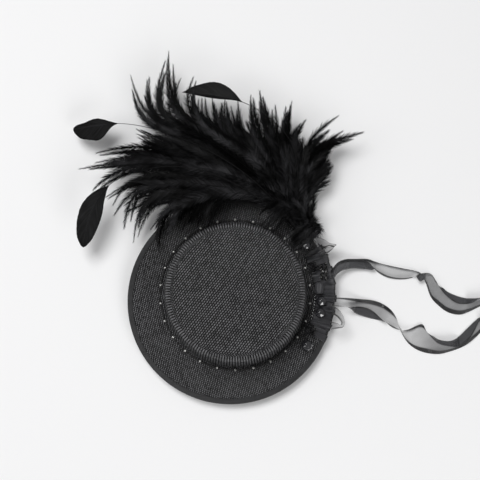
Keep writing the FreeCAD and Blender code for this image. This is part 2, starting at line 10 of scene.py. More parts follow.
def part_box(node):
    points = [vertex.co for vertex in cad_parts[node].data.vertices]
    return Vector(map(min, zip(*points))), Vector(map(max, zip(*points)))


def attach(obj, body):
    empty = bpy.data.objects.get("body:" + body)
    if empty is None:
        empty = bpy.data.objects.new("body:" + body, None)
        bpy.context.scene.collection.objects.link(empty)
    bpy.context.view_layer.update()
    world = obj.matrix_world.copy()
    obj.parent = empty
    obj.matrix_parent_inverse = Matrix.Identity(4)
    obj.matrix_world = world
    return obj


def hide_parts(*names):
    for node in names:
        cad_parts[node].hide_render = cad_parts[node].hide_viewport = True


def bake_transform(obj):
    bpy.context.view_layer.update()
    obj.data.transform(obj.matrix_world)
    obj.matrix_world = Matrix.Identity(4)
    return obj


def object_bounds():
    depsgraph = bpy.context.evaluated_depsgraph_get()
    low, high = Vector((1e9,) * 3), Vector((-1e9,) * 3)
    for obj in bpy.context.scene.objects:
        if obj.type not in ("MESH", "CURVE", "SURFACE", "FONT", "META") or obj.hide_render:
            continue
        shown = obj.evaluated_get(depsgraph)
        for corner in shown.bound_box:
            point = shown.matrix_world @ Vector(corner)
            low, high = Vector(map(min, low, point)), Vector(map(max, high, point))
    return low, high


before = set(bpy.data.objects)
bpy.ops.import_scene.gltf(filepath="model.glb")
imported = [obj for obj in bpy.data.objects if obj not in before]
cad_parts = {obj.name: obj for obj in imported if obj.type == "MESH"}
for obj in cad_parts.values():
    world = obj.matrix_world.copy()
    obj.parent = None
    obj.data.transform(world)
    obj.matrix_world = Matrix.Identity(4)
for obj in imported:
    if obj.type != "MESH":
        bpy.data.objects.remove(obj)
CAD_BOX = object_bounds()

bl_info = {
    "name": "Fascinator Headpiece",
    "version": (1, 0, 0),
    "blender": (4, 5, 0),
    "location": "View3D > Sidebar > Fascinator",
    "description": "Finishes a small feathered hat: straw cloth, hackles, stones, organza and clips",
    "category": "Object",
}

MM = 0.001
UP = Vector((0, 0, 1))
HAT = "hat"


# ---------------------------------------------------------------- sizes and colours

def middle_of(node):
    """Middle of a CAD node's box."""
    low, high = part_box(node)
    return (low + high) / 2


def reach_of(node):
    """Half the width of a CAD node along X."""
    low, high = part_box(node)
    return (high.x - low.x) / 2


CROWN_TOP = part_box("crown_top")[1].z
BRIM_MIDDLE = middle_of("brim")
BRIM_RADIUS = reach_of("brim")
FLOOR_LEVEL = CAD_BOX[0].z
ROOT = middle_of("quill_binding")
ROOT_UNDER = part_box("quill_binding")[0].z


def length(name, default, description, **limits):
    """A size in metres that a user may change."""
    return FloatProperty(name=name, description=description, default=default, unit="LENGTH",
                         precision=5, **limits)


def colour(name, default, description):
    """A colour that a user may change."""
    return FloatVectorProperty(name=name, description=description, default=default,
                               subtype="COLOR", size=3, min=0, max=1)


class FascinatorSizes(bpy.types.PropertyGroup):
    """Sizes of the trimmings"""

    crown_thread: length("Crown thread", 1.7 * MM, "Width of one straw thread on the crown")
    brim_thread: length("Brim thread", 1.35 * MM, "Width of one straw thread on the brim")
    brim_dip: length("Brim dip", 1.1 * MM, "How far the brim's edge waves downwards")
    stitch_step: length("Stitch step", 2.7 * MM, "Distance between the stitches of the binding")
    trim_bead: length("Trim bead", 1.2 * MM, "Radius of a bead on the crown's cord")
    barb_step: length("Barb step", 0.5 * MM, "Distance between the barbs along a quill")
    quill_radius: length("Quill radius", 0.3 * MM, "Radius of a hackle's quill at its root")
    ribbon_width: length("Ribbon width", 16 * MM, "Width of the organza ribbon")
    hackle_count: IntProperty(name="Filling hackles", default=190, min=0, max=400,
                              description="Hackles between the ones that stand out")
    seed: IntProperty(name="Seed", default=7, description="Seed of every random choice")


class FascinatorColours(bpy.types.PropertyGroup):
    """Colours of the finishes"""

    straw: colour("Straw cloth", (0.021, 0.021, 0.022), "Threads of the crown and the brim")
    feather: colour("Feather", (0.0030, 0.0030, 0.0032), "Dyed hackle")
    leaf: colour("Leaf feather", (0.0038, 0.0038, 0.0040), "Dyed and trimmed goose feather")
    organza: colour("Organza", (0.016, 0.016, 0.018), "Sheer ribbon")
    satin: colour("Satin", (0.008, 0.008, 0.009), "Petals")
    thread: colour("Thread", (0.010, 0.010, 0.010), "Sewing thread and cord")
    felt: colour("Felt", (0.013, 0.013, 0.014), "Wool felt")
    stone: colour("Stone", (0.010, 0.010, 0.012), "Cut jet glass")
    silver: colour("Silver", (0.62, 0.61, 0.60), "Trim beads")
    nickel: colour("Nickel", (0.46, 0.45, 0.44), "Clips")
    floor: colour("Floor", (0.86, 0.86, 0.865), "Paper under the hat")


def sizes():
    return bpy.context.scene.fascinator_sizes


def colours():
    return bpy.context.scene.fascinator_colours


# ---------------------------------------------------------------- node helpers

def add(tree, kind, inputs=None, **settings):
    """A node with its settings; its inputs are values or other nodes' outputs."""
    made = tree.nodes.new(kind)
    for name, value in settings.items():
        setattr(made, name, value)
    for key, value in (inputs or {}).items():
        if isinstance(value, bpy.types.NodeSocket):
            tree.links.new(value, made.inputs[key])
        else:
            made.inputs[key].default_value = value
    return made


def calc(tree, operation, *values):
    """One step of arithmetic."""
    return add(tree, "ShaderNodeMath", dict(enumerate(values)), operation=operation).outputs[0]


def vector_calc(tree, operation, *values, scale=None):
    """One step of vector arithmetic."""
    inputs = dict(enumerate(values))
    if scale is not None:
        inputs["Scale"] = scale
    return add(tree, "ShaderNodeVectorMath", inputs, operation=operation).outputs[0]


def wave(tree, value, step):
    """A sine that repeats after every step of a value."""
    return calc(tree, "SINE", calc(tree, "MULTIPLY", value, 2 * math.pi / step))


def axes_of(tree, place):
    """X, Y and Z of a vector."""
    return add(tree, "ShaderNodeSeparateXYZ", {0: place}).outputs


def ramp(tree, value, low, high, low_out=0.0, high_out=1.0):
    """A value carried smoothly from one range to another."""
    node = add(tree, "ShaderNodeMapRange", {"Value": value, "From Min": low, "From Max": high,
                                            "To Min": low_out, "To Max": high_out},
               interpolation_type="SMOOTHSTEP")
    return node.outputs[0]


def scaled(base, factor):
    """A colour made lighter or darker."""
    return tuple(min(part * factor, 1) for part in base)


def speckle(tree, place, scale, detail=2.0):
    """Noise from 0 to 1 at a number of spots per metre."""
    node = add(tree, "ShaderNodeTexNoise", {"Vector": place, "Scale": scale, "Detail": detail})
    return node.outputs["Fac"]


def new_material(name, roughness, **constants):
    """A material with its shader's constants; returns it, its tree and its shader."""
    material = bpy.data.materials.new(name)
    material.use_nodes = True
    tree = material.node_tree
    shader = tree.nodes["Principled BSDF"]
    shader.inputs["Roughness"].default_value = roughness
    for key, value in constants.items():
        shader.inputs[key.replace("_", " ")].default_value = value
    return material, tree, shader


def object_place(tree):
    """The place in the hat's own frame, in metres."""
    return add(tree, "ShaderNodeTexCoord").outputs["Object"]


def cloth_place(tree):
    """The piece's own cloth map, in metres along the cloth."""
    return add(tree, "ShaderNodeUVMap", uv_map="Cloth").outputs["UV"]


def tint(tree, shader, share, base, dark, light):
    """Colour that goes from a darker to a lighter tone of one base."""
    node = add(tree, "ShaderNodeMix", data_type="RGBA")
    tree.links.new(share, node.inputs[0])
    node.inputs[6].default_value = (*scaled(base, dark), 1)
    node.inputs[7].default_value = (*scaled(base, light), 1)
    tree.links.new(node.outputs[2], shader.inputs["Base Color"])


def roughen(tree, shader, *limits):
    """Roughness that follows a value: the value, its two ends and the roughness at each."""
    tree.links.new(ramp(tree, *limits), shader.inputs["Roughness"])


def raise_surface(tree, shader, height, depth, strength=1.0):
    """Relief of a depth in metres."""
    bump = add(tree, "ShaderNodeBump", {"Height": height, "Distance": depth,
                                        "Strength": strength})
    tree.links.new(bump.outputs[0], shader.inputs["Normal"])


# ---------------------------------------------------------------- finishes

# The crown's cloth is combed over its rim from this radius, in strokes of this width.
COMBED_FROM = 48.6 * MM
COMB_STEP = 1.9 * MM
COMB_FADE = 0.6 * MM
# How far a straw thread wanders, and how dense doubled organza is; the same density carries the
# painted floor shade under a lying tail.
THREAD_STRAY = 0.9 * MM
DOUBLED_AND_SHADED_CLEAR = 0.88


def weave(tree, across, along):
    """Height of straw strands that lie side by side and duck under at every second crossing."""
    strand = calc(tree, "ABSOLUTE", calc(tree, "SINE", calc(tree, "MULTIPLY", across, math.pi)))
    stagger = calc(tree, "MULTIPLY", calc(tree, "FLOOR", across), 0.5)
    dive = calc(tree, "SINE", calc(tree, "MULTIPLY", calc(tree, "ADD", along, stagger), math.pi))
    rise = calc(tree, "POWER", calc(tree, "ABSOLUTE", dive), 0.7)
    return calc(tree, "MULTIPLY", calc(tree, "POWER", strand, 0.8),
                calc(tree, "MULTIPLY_ADD", rise, 0.55, 0.45))


def rim_strokes(tree, height, rim):
    """Beyond a radius the strands are drawn over the rim and lie like a comb."""
    axes = axes_of(tree, object_place(tree))
    turn = calc(tree, "ARCTAN2", axes[1], axes[0])
    count = round(math.pi * rim / COMB_STEP)
    comb = calc(tree, "ABSOLUTE", calc(tree, "SINE", calc(tree, "MULTIPLY", turn, count)))
    flat = add(tree, "ShaderNodeCombineXYZ", {0: axes[0], 1: axes[1]})
    radius = add(tree, "ShaderNodeVectorMath", {0: flat.outputs[0]}, operation="LENGTH")
    share = ramp(tree, radius.outputs["Value"], rim - COMB_FADE, rim + COMB_FADE)
    gap = calc(tree, "SUBTRACT", comb, height)
    # The comb's ridges and grooves also set the straw's colour: painted highlights and painted
    # shade.
    return calc(tree, "MULTIPLY_ADD", gap, share, height)


def thread_chance(tree, across, along):
    """A steady random number for each thread cell."""
    cell = add(tree, "ShaderNodeCombineXYZ", {0: calc(tree, "FLOOR", across),
                                              1: calc(tree, "FLOOR", along)})
    return add(tree, "ShaderNodeTexWhiteNoise", {"Vector": cell.outputs[0]},
               noise_dimensions="2D").outputs["Value"]


def straw_cloth(name, thread, turn, gloss, rim=None):
    """Woven straw: raised glossy strands, each a little different, lighter by their height as
    painted highlights, with painted shade in the dark gaps.
    """
    material, tree, shader = new_material(name, 0.4, Specular_IOR_Level=gloss)
    place = cloth_place(tree)
    slack = add(tree, "ShaderNodeTexNoise", {"Vector": place, "Scale": 120.0, "Detail": 1.0})
    shift = vector_calc(tree, "SUBTRACT", slack.outputs["Color"], (0.5, 0.5, 0.5))
    place = vector_calc(tree, "ADD", place, vector_calc(tree, "SCALE", shift, scale=THREAD_STRAY))
    turned = add(tree, "ShaderNodeMapping", {"Vector": place, "Rotation": (0, 0, turn),
                                             "Scale": (thread, thread * 1.25, 1)},
                 vector_type="TEXTURE")
    axes = axes_of(tree, turned.outputs[0])
    across, along = axes[0], axes[1]
    height = weave(tree, across, along)
    if rim:
        height = rim_strokes(tree, height, rim)
    chance = thread_chance(tree, across, along)
    patch = speckle(tree, object_place(tree), 45.0, 3.0)
    # The weave height sets the tone: painted highlights on raised strands and painted shade in the
    # gaps; the thread and patch factors vary it at random.
    tone = ramp(tree, height, 0.5, 1.0)
    tone = calc(tree, "MULTIPLY", tone, calc(tree, "MULTIPLY_ADD", chance, 1.0, 0.40))
    tone = calc(tree, "MULTIPLY", tone, calc(tree, "MULTIPLY_ADD", patch, 0.6, 0.70))
    tint(tree, shader, tone, colours().straw, 0.03, 6.5)
    roughen(tree, shader, chance, 0, 1, 0.28, 0.5)
    fibre = calc(tree, "MULTIPLY_ADD", speckle(tree, place, 2600.0), 0.15, height)
    raise_surface(tree, shader, fibre, thread * 0.4)
    return material


def ribbed_tape():
    """Narrow grosgrain: fine ribs across the tape."""
    material, tree, shader = new_material("Binding tape", 0.5, Specular_IOR_Level=0.4)
    base = scaled(colours().straw, 1.2)
    axes = axes_of(tree, cloth_place(tree))
    rib = wave(tree, axes[0], 0.7 * MM)
    worn = speckle(tree, object_place(tree), 220.0, 3.0)
    tone = calc(tree, "MULTIPLY_ADD", rib, 0.3, worn)
    tint(tree, shader, tone, base, 0.6, 1.9)
    roughen(tree, shader, worn, 0.3, 0.7, 0.4, 0.62)
    raise_surface(tree, shader, rib, 0.12 * MM)
    return material


def feather_finish():
    """Dyed barbs, nearly black, whose tone changes from feather to feather, partly at random and
    partly as painted highlight streaks on the lighter feathers.
    """
    material, tree, shader = new_material("Hackle barbs", 0.42, Specular_IOR_Level=0.05)
    place = object_place(tree)
    tone = add(tree, "ShaderNodeAttribute", attribute_name="barb_tone").outputs["Fac"]
    cloud = speckle(tree, place, 60.0, 3.0)
    # The lighter feathers carry painted highlight streaks, mixed with random tone from feather to
    # feather.
    share = calc(tree, "MULTIPLY", calc(tree, "POWER", tone, 3.0), ramp(tree, cloud, 0.3, 0.6))
    tint(tree, shader, share, colours().feather, 0.1, 15.0)
    roughen(tree, shader, tone, 0, 1, 0.35, 0.6)
    raise_surface(tree, shader, speckle(tree, place, 3000.0), 0.05 * MM, 0.5)
    return material


def leaf_finish():
    """A close vane: fine barb lines that slant back from a paler quill."""
    material, tree, shader = new_material("Leaf vane", 0.45, Specular_IOR_Level=0.08)
    axes = axes_of(tree, cloth_place(tree))
    across, along = axes[0], axes[1]
    aside = calc(tree, "ABSOLUTE", across)
    slant = calc(tree, "SUBTRACT", along, calc(tree, "MULTIPLY", aside, 0.9))
    line = add(tree, "ShaderNodeCombineXYZ", {0: calc(tree, "MULTIPLY", slant, 2600.0),
                                              1: calc(tree, "MULTIPLY", across, 90.0)})
    barbs = speckle(tree, line.outputs[0], 1.0)
    cloud = speckle(tree, object_place(tree), 90.0, 3.0)
    rib = ramp(tree, aside, 0.2 * MM, 0.9 * MM, 0.55, 0.0)
    tone = calc(tree, "ADD", calc(tree, "MULTIPLY", ramp(tree, barbs, 0.3, 0.75), cloud), rib)
    tint(tree, shader, tone, colours().leaf, 0.2, 5.5)
    raise_surface(tree, shader, barbs, 0.25 * MM)
    return material


def organza_finish(name, clear, edge_width):
    """Sheer cloth: open fine weave between two denser satin edges."""
    material, tree, shader = new_material(name, 0.38, Specular_IOR_Level=0.5,
                                          Sheen_Weight=0.25, Sheen_Roughness=0.3)
    axes = axes_of(tree, cloth_place(tree))
    across, along = axes[0], axes[1]
    width = sizes().ribbon_width
    from_edge = calc(tree, "MINIMUM", across, calc(tree, "SUBTRACT", width, across))
    edge = ramp(tree, from_edge, edge_width * 0.8, edge_width * 1.25, 1.0, 0.0)
    warp = wave(tree, across, 0.55 * MM)
    weft = wave(tree, along, 0.6 * MM)
    threads = calc(tree, "MAXIMUM", warp, weft)
    cloud = speckle(tree, object_place(tree), 130.0, 3.0)
    # The stored value makes the cloth denser where it is doubled, and also where a tail lies flat on
    # the floor, which is painted shade.
    doubling_and_floor_shade = add(tree, "ShaderNodeAttribute", attribute_name="doubling_and_floor_shade").outputs["Fac"]
    sheer = calc(tree, "MULTIPLY_ADD", doubling_and_floor_shade, DOUBLED_AND_SHADED_CLEAR - clear, clear)
    sheer = calc(tree, "MULTIPLY_ADD", threads, 0.06, sheer)
    sheer = calc(tree, "ADD", sheer, calc(tree, "MULTIPLY_ADD", cloud, 0.16, -0.08))
    solid = calc(tree, "MULTIPLY_ADD", threads, 0.03, 0.95)
    gap = calc(tree, "SUBTRACT", solid, sheer)
    alpha = calc(tree, "MULTIPLY_ADD", gap, edge, sheer)
    tree.links.new(alpha, shader.inputs["Alpha"])
    tint(tree, shader, edge, colours().organza, 2.2, 0.6)
    roughen(tree, shader, edge, 0, 1, 0.5, 0.28)
    raise_surface(tree, shader, threads, 0.05 * MM)
    return material


def satin_finish():
    """Smooth petal cloth with fine creases and a soft shine."""
    material, tree, shader = new_material("Petal satin", 0.32, Specular_IOR_Level=0.6,
                                          Sheen_Weight=0.15, Sheen_Roughness=0.3)
    place = object_place(tree)
    crease = speckle(tree, place, 420.0, 4.0)
    tint(tree, shader, crease, colours().satin, 0.5, 2.2)
    roughen(tree, shader, crease, 0.3, 0.7, 0.22, 0.45)
    raise_surface(tree, shader, crease, 0.2 * MM)
    return material


def twisted_thread(name, step):
    """Thread with slanting twist marks and a few stray fibres."""
    material, tree, shader = new_material(name, 0.55, Specular_IOR_Level=0.45)
    axes = axes_of(tree, object_place(tree))
    slant = calc(tree, "ADD", calc(tree, "ADD", axes[0], axes[1]),
                 axes[2])
    twist = wave(tree, slant, step)
    fibre = speckle(tree, object_place(tree), 1800.0)
    tone = calc(tree, "MULTIPLY_ADD", twist, 0.25, fibre)
    tint(tree, shader, tone, colours().thread, 0.6, 2.4)
    roughen(tree, shader, fibre, 0.3, 0.7, 0.45, 0.7)
    raise_surface(tree, shader, tone, 0.1 * MM)
    return material


def felt_finish():
    """Matted wool: tangled fibres of two sizes and soft sheen."""
    material, tree, shader = new_material("Wool felt", 0.9, Specular_IOR_Level=0.2,
                                          Sheen_Weight=0.35, Sheen_Roughness=0.6)
    place = object_place(tree)
    coarse = speckle(tree, place, 500.0, 4.0)
    fine = speckle(tree, place, 2400.0, 2.0)
    tone = calc(tree, "MULTIPLY_ADD", fine, 0.5, calc(tree, "MULTIPLY", coarse, 0.5))
    tint(tree, shader, tone, colours().felt, 0.4, 2.2)
    roughen(tree, shader, tone, 0.3, 0.7, 0.8, 0.97)
    raise_surface(tree, shader, tone, 0.35 * MM)
    return material


def cut_glass():
    """Polished jet glass with faint smears."""
    material, tree, shader = new_material("Cut jet glass", 0.05, Specular_IOR_Level=0.9,
                                          Coat_Weight=0.6, Coat_Roughness=0.02, IOR=1.7)
    smear = speckle(tree, object_place(tree), 500.0, 3.0)
    tint(tree, shader, smear, colours().stone, 0.5, 2.5)
    roughen(tree, shader, smear, 0.3, 0.8, 0.03, 0.14)
    return material


def metal_finish(name, base, roughness, scratch):
    """Bright metal with small scratches and a little tarnish."""
    material, tree, shader = new_material(name, roughness, Metallic=1.0)
    place = object_place(tree)
    tarnish = speckle(tree, place, 300.0, 4.0)
    stretched = add(tree, "ShaderNodeMapping", {"Vector": place, "Scale": (1, 14, 14)})
    lines = speckle(tree, stretched.outputs[0], 260.0, 3.0)
    tint(tree, shader, tarnish, base, 0.7, 1.15)
    roughen(tree, shader, lines, 0.3, 0.7, roughness * 0.7, roughness * 1.5)
    raise_surface(tree, shader, lines, scratch)
    return material


def paper_finish():
    """Plain pale paper."""
    material, tree, shader = new_material("Pale paper", 0.9, Specular_IOR_Level=0.1)
    grain = speckle(tree, object_place(tree), 900.0, 3.0)
    tint(tree, shader, grain, colours().floor, 0.985, 1)
    return material


FINISHES = {}


def finish(name):
    """A finish by its name, made when it is first asked for."""
    makers = {
        "crown cloth": lambda: straw_cloth("Crown straw cloth", sizes().crown_thread,
                                           math.radians(-40), 0.35, COMBED_FROM),
        "brim cloth": lambda: straw_cloth("Brim straw cloth", sizes().brim_thread,
                                          math.radians(12), 0.4),
        "tape": ribbed_tape,
        "hackle": feather_finish,
        "leaf": leaf_finish,
        "organza": lambda: organza_finish("Organza ribbon", 0.24, 1.6 * MM),
        "looped organza": lambda: organza_finish("Looped organza", 0.36, 2.6 * MM),
        "dense organza": lambda: organza_finish("Gathered organza", 0.86, 1.2 * MM),
        "satin": satin_finish,
        "thread": lambda: twisted_thread("Sewing thread", 0.9 * MM),
        "cord": lambda: twisted_thread("Fine cord", 1.4 * MM),
        "felt": felt_finish,
        "stone": cut_glass,
        "silver": lambda: metal_finish("Silver bead", colours().silver, 0.3, 0.01 * MM),
        "sequin": lambda: metal_finish("Dark sequin", scaled(colours().silver, 0.22), 0.14,
                                       0.01 * MM),
        "nickel": lambda: metal_finish("Nickelled steel", colours().nickel, 0.26, 0.02 * MM),
        "wire": lambda: metal_finish("Spring wire", scaled(colours().nickel, 0.8), 0.3,
                                     0.02 * MM),
        "paper": paper_finish,
    }
    if name not in FINISHES:
        FINISHES[name] = makers[name]()
    return FINISHES[name]


# ---------------------------------------------------------------- mesh helpers

def link(name, mesh):
    """A new object for a mesh, at the origin."""
    piece = bpy.data.objects.new(name, mesh)
    bpy.context.scene.collection.objects.link(piece)
    return piece


def smooth(mesh, value=True):
    mesh.polygons.foreach_set("use_smooth", [value] * len(mesh.polygons))


def surface(name, rows, columns, place, material, uv=None, closed_rows=False,
            closed_columns=False):
    """A grid of faces: place gives each corner, uv its cloth place; closed sides join up."""
    deep = rows if closed_rows else rows + 1
    wide = columns if closed_columns else columns + 1
    vertices = [place(row, column) for row in range(deep) for column in range(wide)]
    corners, faces = [], []
    for row in range(rows):
        for column in range(columns):
            square = ((row, column), (row, column + 1), (row + 1, column + 1), (row + 1, column))
            faces.append([r % deep * wide + c % wide for r, c in square])
            corners.extend(square)
    mesh = bpy.data.meshes.new(name)
    mesh.from_pydata(vertices, [], faces)
    layer = mesh.uv_layers.new(name="Cloth")
    for index, corner in enumerate(corners):
        if uv:
            layer.data[index].uv = uv(*corner)
    smooth(mesh)
    mesh.materials.append(material)
    return link(name, mesh)


def tidy(piece, outwards=True):
    """Merge doubled corners, then turn every face outwards."""
    work = bmesh.new()
    work.from_mesh(piece.data)
    bmesh.ops.remove_doubles(work, verts=work.verts, dist=0.002 * MM)
    if outwards:
        bmesh.ops.recalc_face_normals(work, faces=work.faces)
    work.to_mesh(piece.data)
    work.free()
    return piece


def close_ends(piece):
    """Fill the open ends of a tube."""
    work = bmesh.new()
    work.from_mesh(piece.data)
    bmesh.ops.holes_fill(work, edges=[edge for edge in work.edges if edge.is_boundary])
    work.to_mesh(piece.data)
    work.free()
    return piece


def joined(name, parts, material):
    """Several new objects made into one."""
    work = bmesh.new()
    for part in parts:
        work.from_mesh(part.data)
    mesh = bpy.data.meshes.new(name)
    work.to_mesh(mesh)
    work.free()
    mesh.materials.append(material)
    for polygon in mesh.polygons:
        polygon.material_index = 0
    for part in parts:
        old = part.data
        bpy.data.objects.remove(part)
        bpy.data.meshes.remove(old)
    return link(name, mesh)


def thicken(piece, thickness):
    """Give a sheet of faces a real thickness, upwards and downwards alike."""
    wall = piece.modifiers.new("Wall", "SOLIDIFY")
    wall.thickness = thickness
    wall.offset = 0
    return plain(piece)


def plain(piece):
    """Turn the evaluated piece into a plain mesh and drop its modifiers."""
    graph = bpy.context.evaluated_depsgraph_get()
    mesh = bpy.data.meshes.new_from_object(piece.evaluated_get(graph))
    piece.modifiers.clear()
    old = piece.data
    piece.data = mesh
    bpy.data.meshes.remove(old)
    mesh.name = piece.name
    return piece


def settle(piece, slot, *nodes, body=HAT):
    """Ride on a body and stand for the CAD nodes; the slot is not used."""
    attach(piece, body)
    if nodes:
        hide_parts(*nodes)
    return piece


def paint_node(node, material):
    """Give a CAD node that stays its finish."""
    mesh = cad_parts[node].data
    mesh.materials.clear()
    mesh.materials.append(material)


def heading(angle):
    """Level unit vector at an angle in radians from +X."""
    return Vector((math.cos(angle), math.sin(angle), 0))


def wobble(place, scale, seed=0.0):
    """Smooth noise from -1 to 1 at a place."""
    return noise.noise(place * scale + Vector((seed, seed * 1.7, seed * 0.3)))


def tube(name, points, radius, material, sides=8, taper=None):
    """A round tube along points; taper gives the radius share at a share of its length."""
    count = len(points)
    rings = []
    side = None
    for index, point in enumerate(points):
        before, after = points[max(index - 1, 0)], points[min(index + 1, count - 1)]
        way = (after - before).normalized()
        if side is None:
            side = way.orthogonal()
        side = (side - way * side.dot(way)).normalized()
        over = way.cross(side)
        wide = radius * (taper(index / max(count - 1, 1)) if taper else 1)
        rings.append([point + (side * math.cos(turn) + over * math.sin(turn)) * wide
                      for turn in (2 * math.pi * step / sides for step in range(sides))])
    piece = surface(name, count - 1, sides, lambda r, c: rings[r][c], material,
                    closed_columns=True)
    return tidy(close_ends(piece))


def smooth_line(points, steps):
    """Points on a smooth curve through given points, which may have any number of values."""
    spans = len(points) - 1
    line = []
    for step in range(steps + 1):
        at = step / steps * spans
        index = min(int(at), spans - 1)
        part = at - index
        p0, p1 = points[max(index - 1, 0)], points[index]
        p2, p3 = points[index + 1], points[min(index + 2, spans)]
        value = []
        for a, b, c, d in zip(p0, p1, p2, p3):
            bend = 2 * a - 5 * b + 4 * c - d
            twist = 3 * b - a - 3 * c + d
            value.append(b + 0.5 * part * ((c - a) + part * (bend + part * twist)))
        line.append(value)
    return line


# ---------------------------------------------------------------- node trees for repeats

def new_tree(name, **inputs):
    """An empty geometry tree with named inputs; returns it with its two ends."""
    tree = bpy.data.node_groups.new(name, "GeometryNodeTree")
    kinds = {float: "NodeSocketFloat", int: "NodeSocketInt"}
    tree.interface.new_socket("Geometry", in_out="INPUT", socket_type="NodeSocketGeometry")
    for label, default in inputs.items():
        socket = tree.interface.new_socket(label.replace("_", " "), in_out="INPUT",
                                           socket_type=kinds[type(default)])
        socket.default_value = default
    tree.interface.new_socket("Material", in_out="INPUT", socket_type="NodeSocketMaterial")
    tree.interface.new_socket("Geometry", in_out="OUTPUT", socket_type="NodeSocketGeometry")
    return tree, tree.nodes.new("NodeGroupInput").outputs, tree.nodes.new("NodeGroupOutput")


def end_tree(tree, given, end, geometry):
    """Realize what was repeated, set its material and hand it out."""
    real = add(tree, "GeometryNodeRealizeInstances", {"Geometry": geometry})
    painted = add(tree, "GeometryNodeSetMaterial", {"Geometry": real.outputs[0],
                                                    "Material": given["Material"]})
    tree.links.new(painted.outputs[0], end.inputs["Geometry"])


def grow(name, base, tree, material, **inputs):
    """Run a tree on a base mesh and keep the result as a plain mesh."""
    piece = link(name, base)
    modifier = piece.modifiers.new("Repeat", "NODES")
    modifier.node_group = tree
    values = {label.replace("_", " "): value for label, value in inputs.items()}
    values["Material"] = material
    for item in tree.interface.items_tree:
        if item.item_type == "SOCKET" and item.in_out == "INPUT" and item.name in values:
            modifier[item.identifier] = values[item.name]
    return plain(piece)


def attribute(tree, name, kind="FLOAT"):
    """A value stored on the base mesh."""
    node = add(tree, "GeometryNodeInputNamedAttribute", {"Name": name}, data_type=kind)
    return node.outputs["Attribute"]


def chance(tree, low, high, seed):
    """A random value for each point."""
    node = add(tree, "FunctionNodeRandomValue", {"Seed": seed}, data_type="FLOAT")
    for key, value in (("Min", low), ("Max", high)):
        socket = [item for item in node.inputs if item.name == key and item.enabled][0]
        if isinstance(value, bpy.types.NodeSocket):
            tree.links.new(value, socket)
        else:
            socket.default_value = value
    return [item for item in node.outputs if item.enabled][0]


def join(tree, *parts):
    node = tree.nodes.new("GeometryNodeJoinGeometry")
    for part in parts:
        tree.links.new(part, node.inputs[0])
    return node.outputs[0]


def rod(tree, curve, sides, radius, more=None):
    """A round rod along a curve."""
    profile = add(tree, "GeometryNodeCurvePrimitiveCircle", {"Resolution": sides,
                                                             "Radius": radius})
    inputs = {"Curve": curve, "Profile Curve": profile.outputs[0], **(more or {})}
    return add(tree, "GeometryNodeCurveToMesh", inputs).outputs[0]


def bent_barb(tree, given, side):
    """One barb, one unit long: a narrow strip that tapers, curls forward and droops."""
    flat = add(tree, "GeometryNodeMeshGrid", {"Size X": 1.0, "Size Y": 1.0, "Vertices X": 4,
                                              "Vertices Y": 2})
    axes = axes_of(tree, tree.nodes.new("GeometryNodeInputPosition").outputs[0])
    out = calc(tree, "ADD", axes[0], 0.5)
    square = calc(tree, "MULTIPLY", out, out)
    narrow = calc(tree, "SUBTRACT", 1.0, calc(tree, "MULTIPLY", square, given["Taper"]))
    wide = calc(tree, "MULTIPLY", calc(tree, "MULTIPLY", axes[1], given["Barb Width"]),
                narrow)
    curl = calc(tree, "MULTIPLY", square, calc(tree, "MULTIPLY", given["Curl"], -side))
    drop = calc(tree, "MULTIPLY", square, calc(tree, "MULTIPLY", given["Droop"], -1.0))
    place = add(tree, "ShaderNodeCombineXYZ", {0: out, 1: calc(tree, "ADD", wide, curl),
                                               2: drop})
    moved = add(tree, "GeometryNodeSetPosition", {"Geometry": flat.outputs[0],
                                                  "Position": place.outputs[0]})
    return moved.outputs[0]


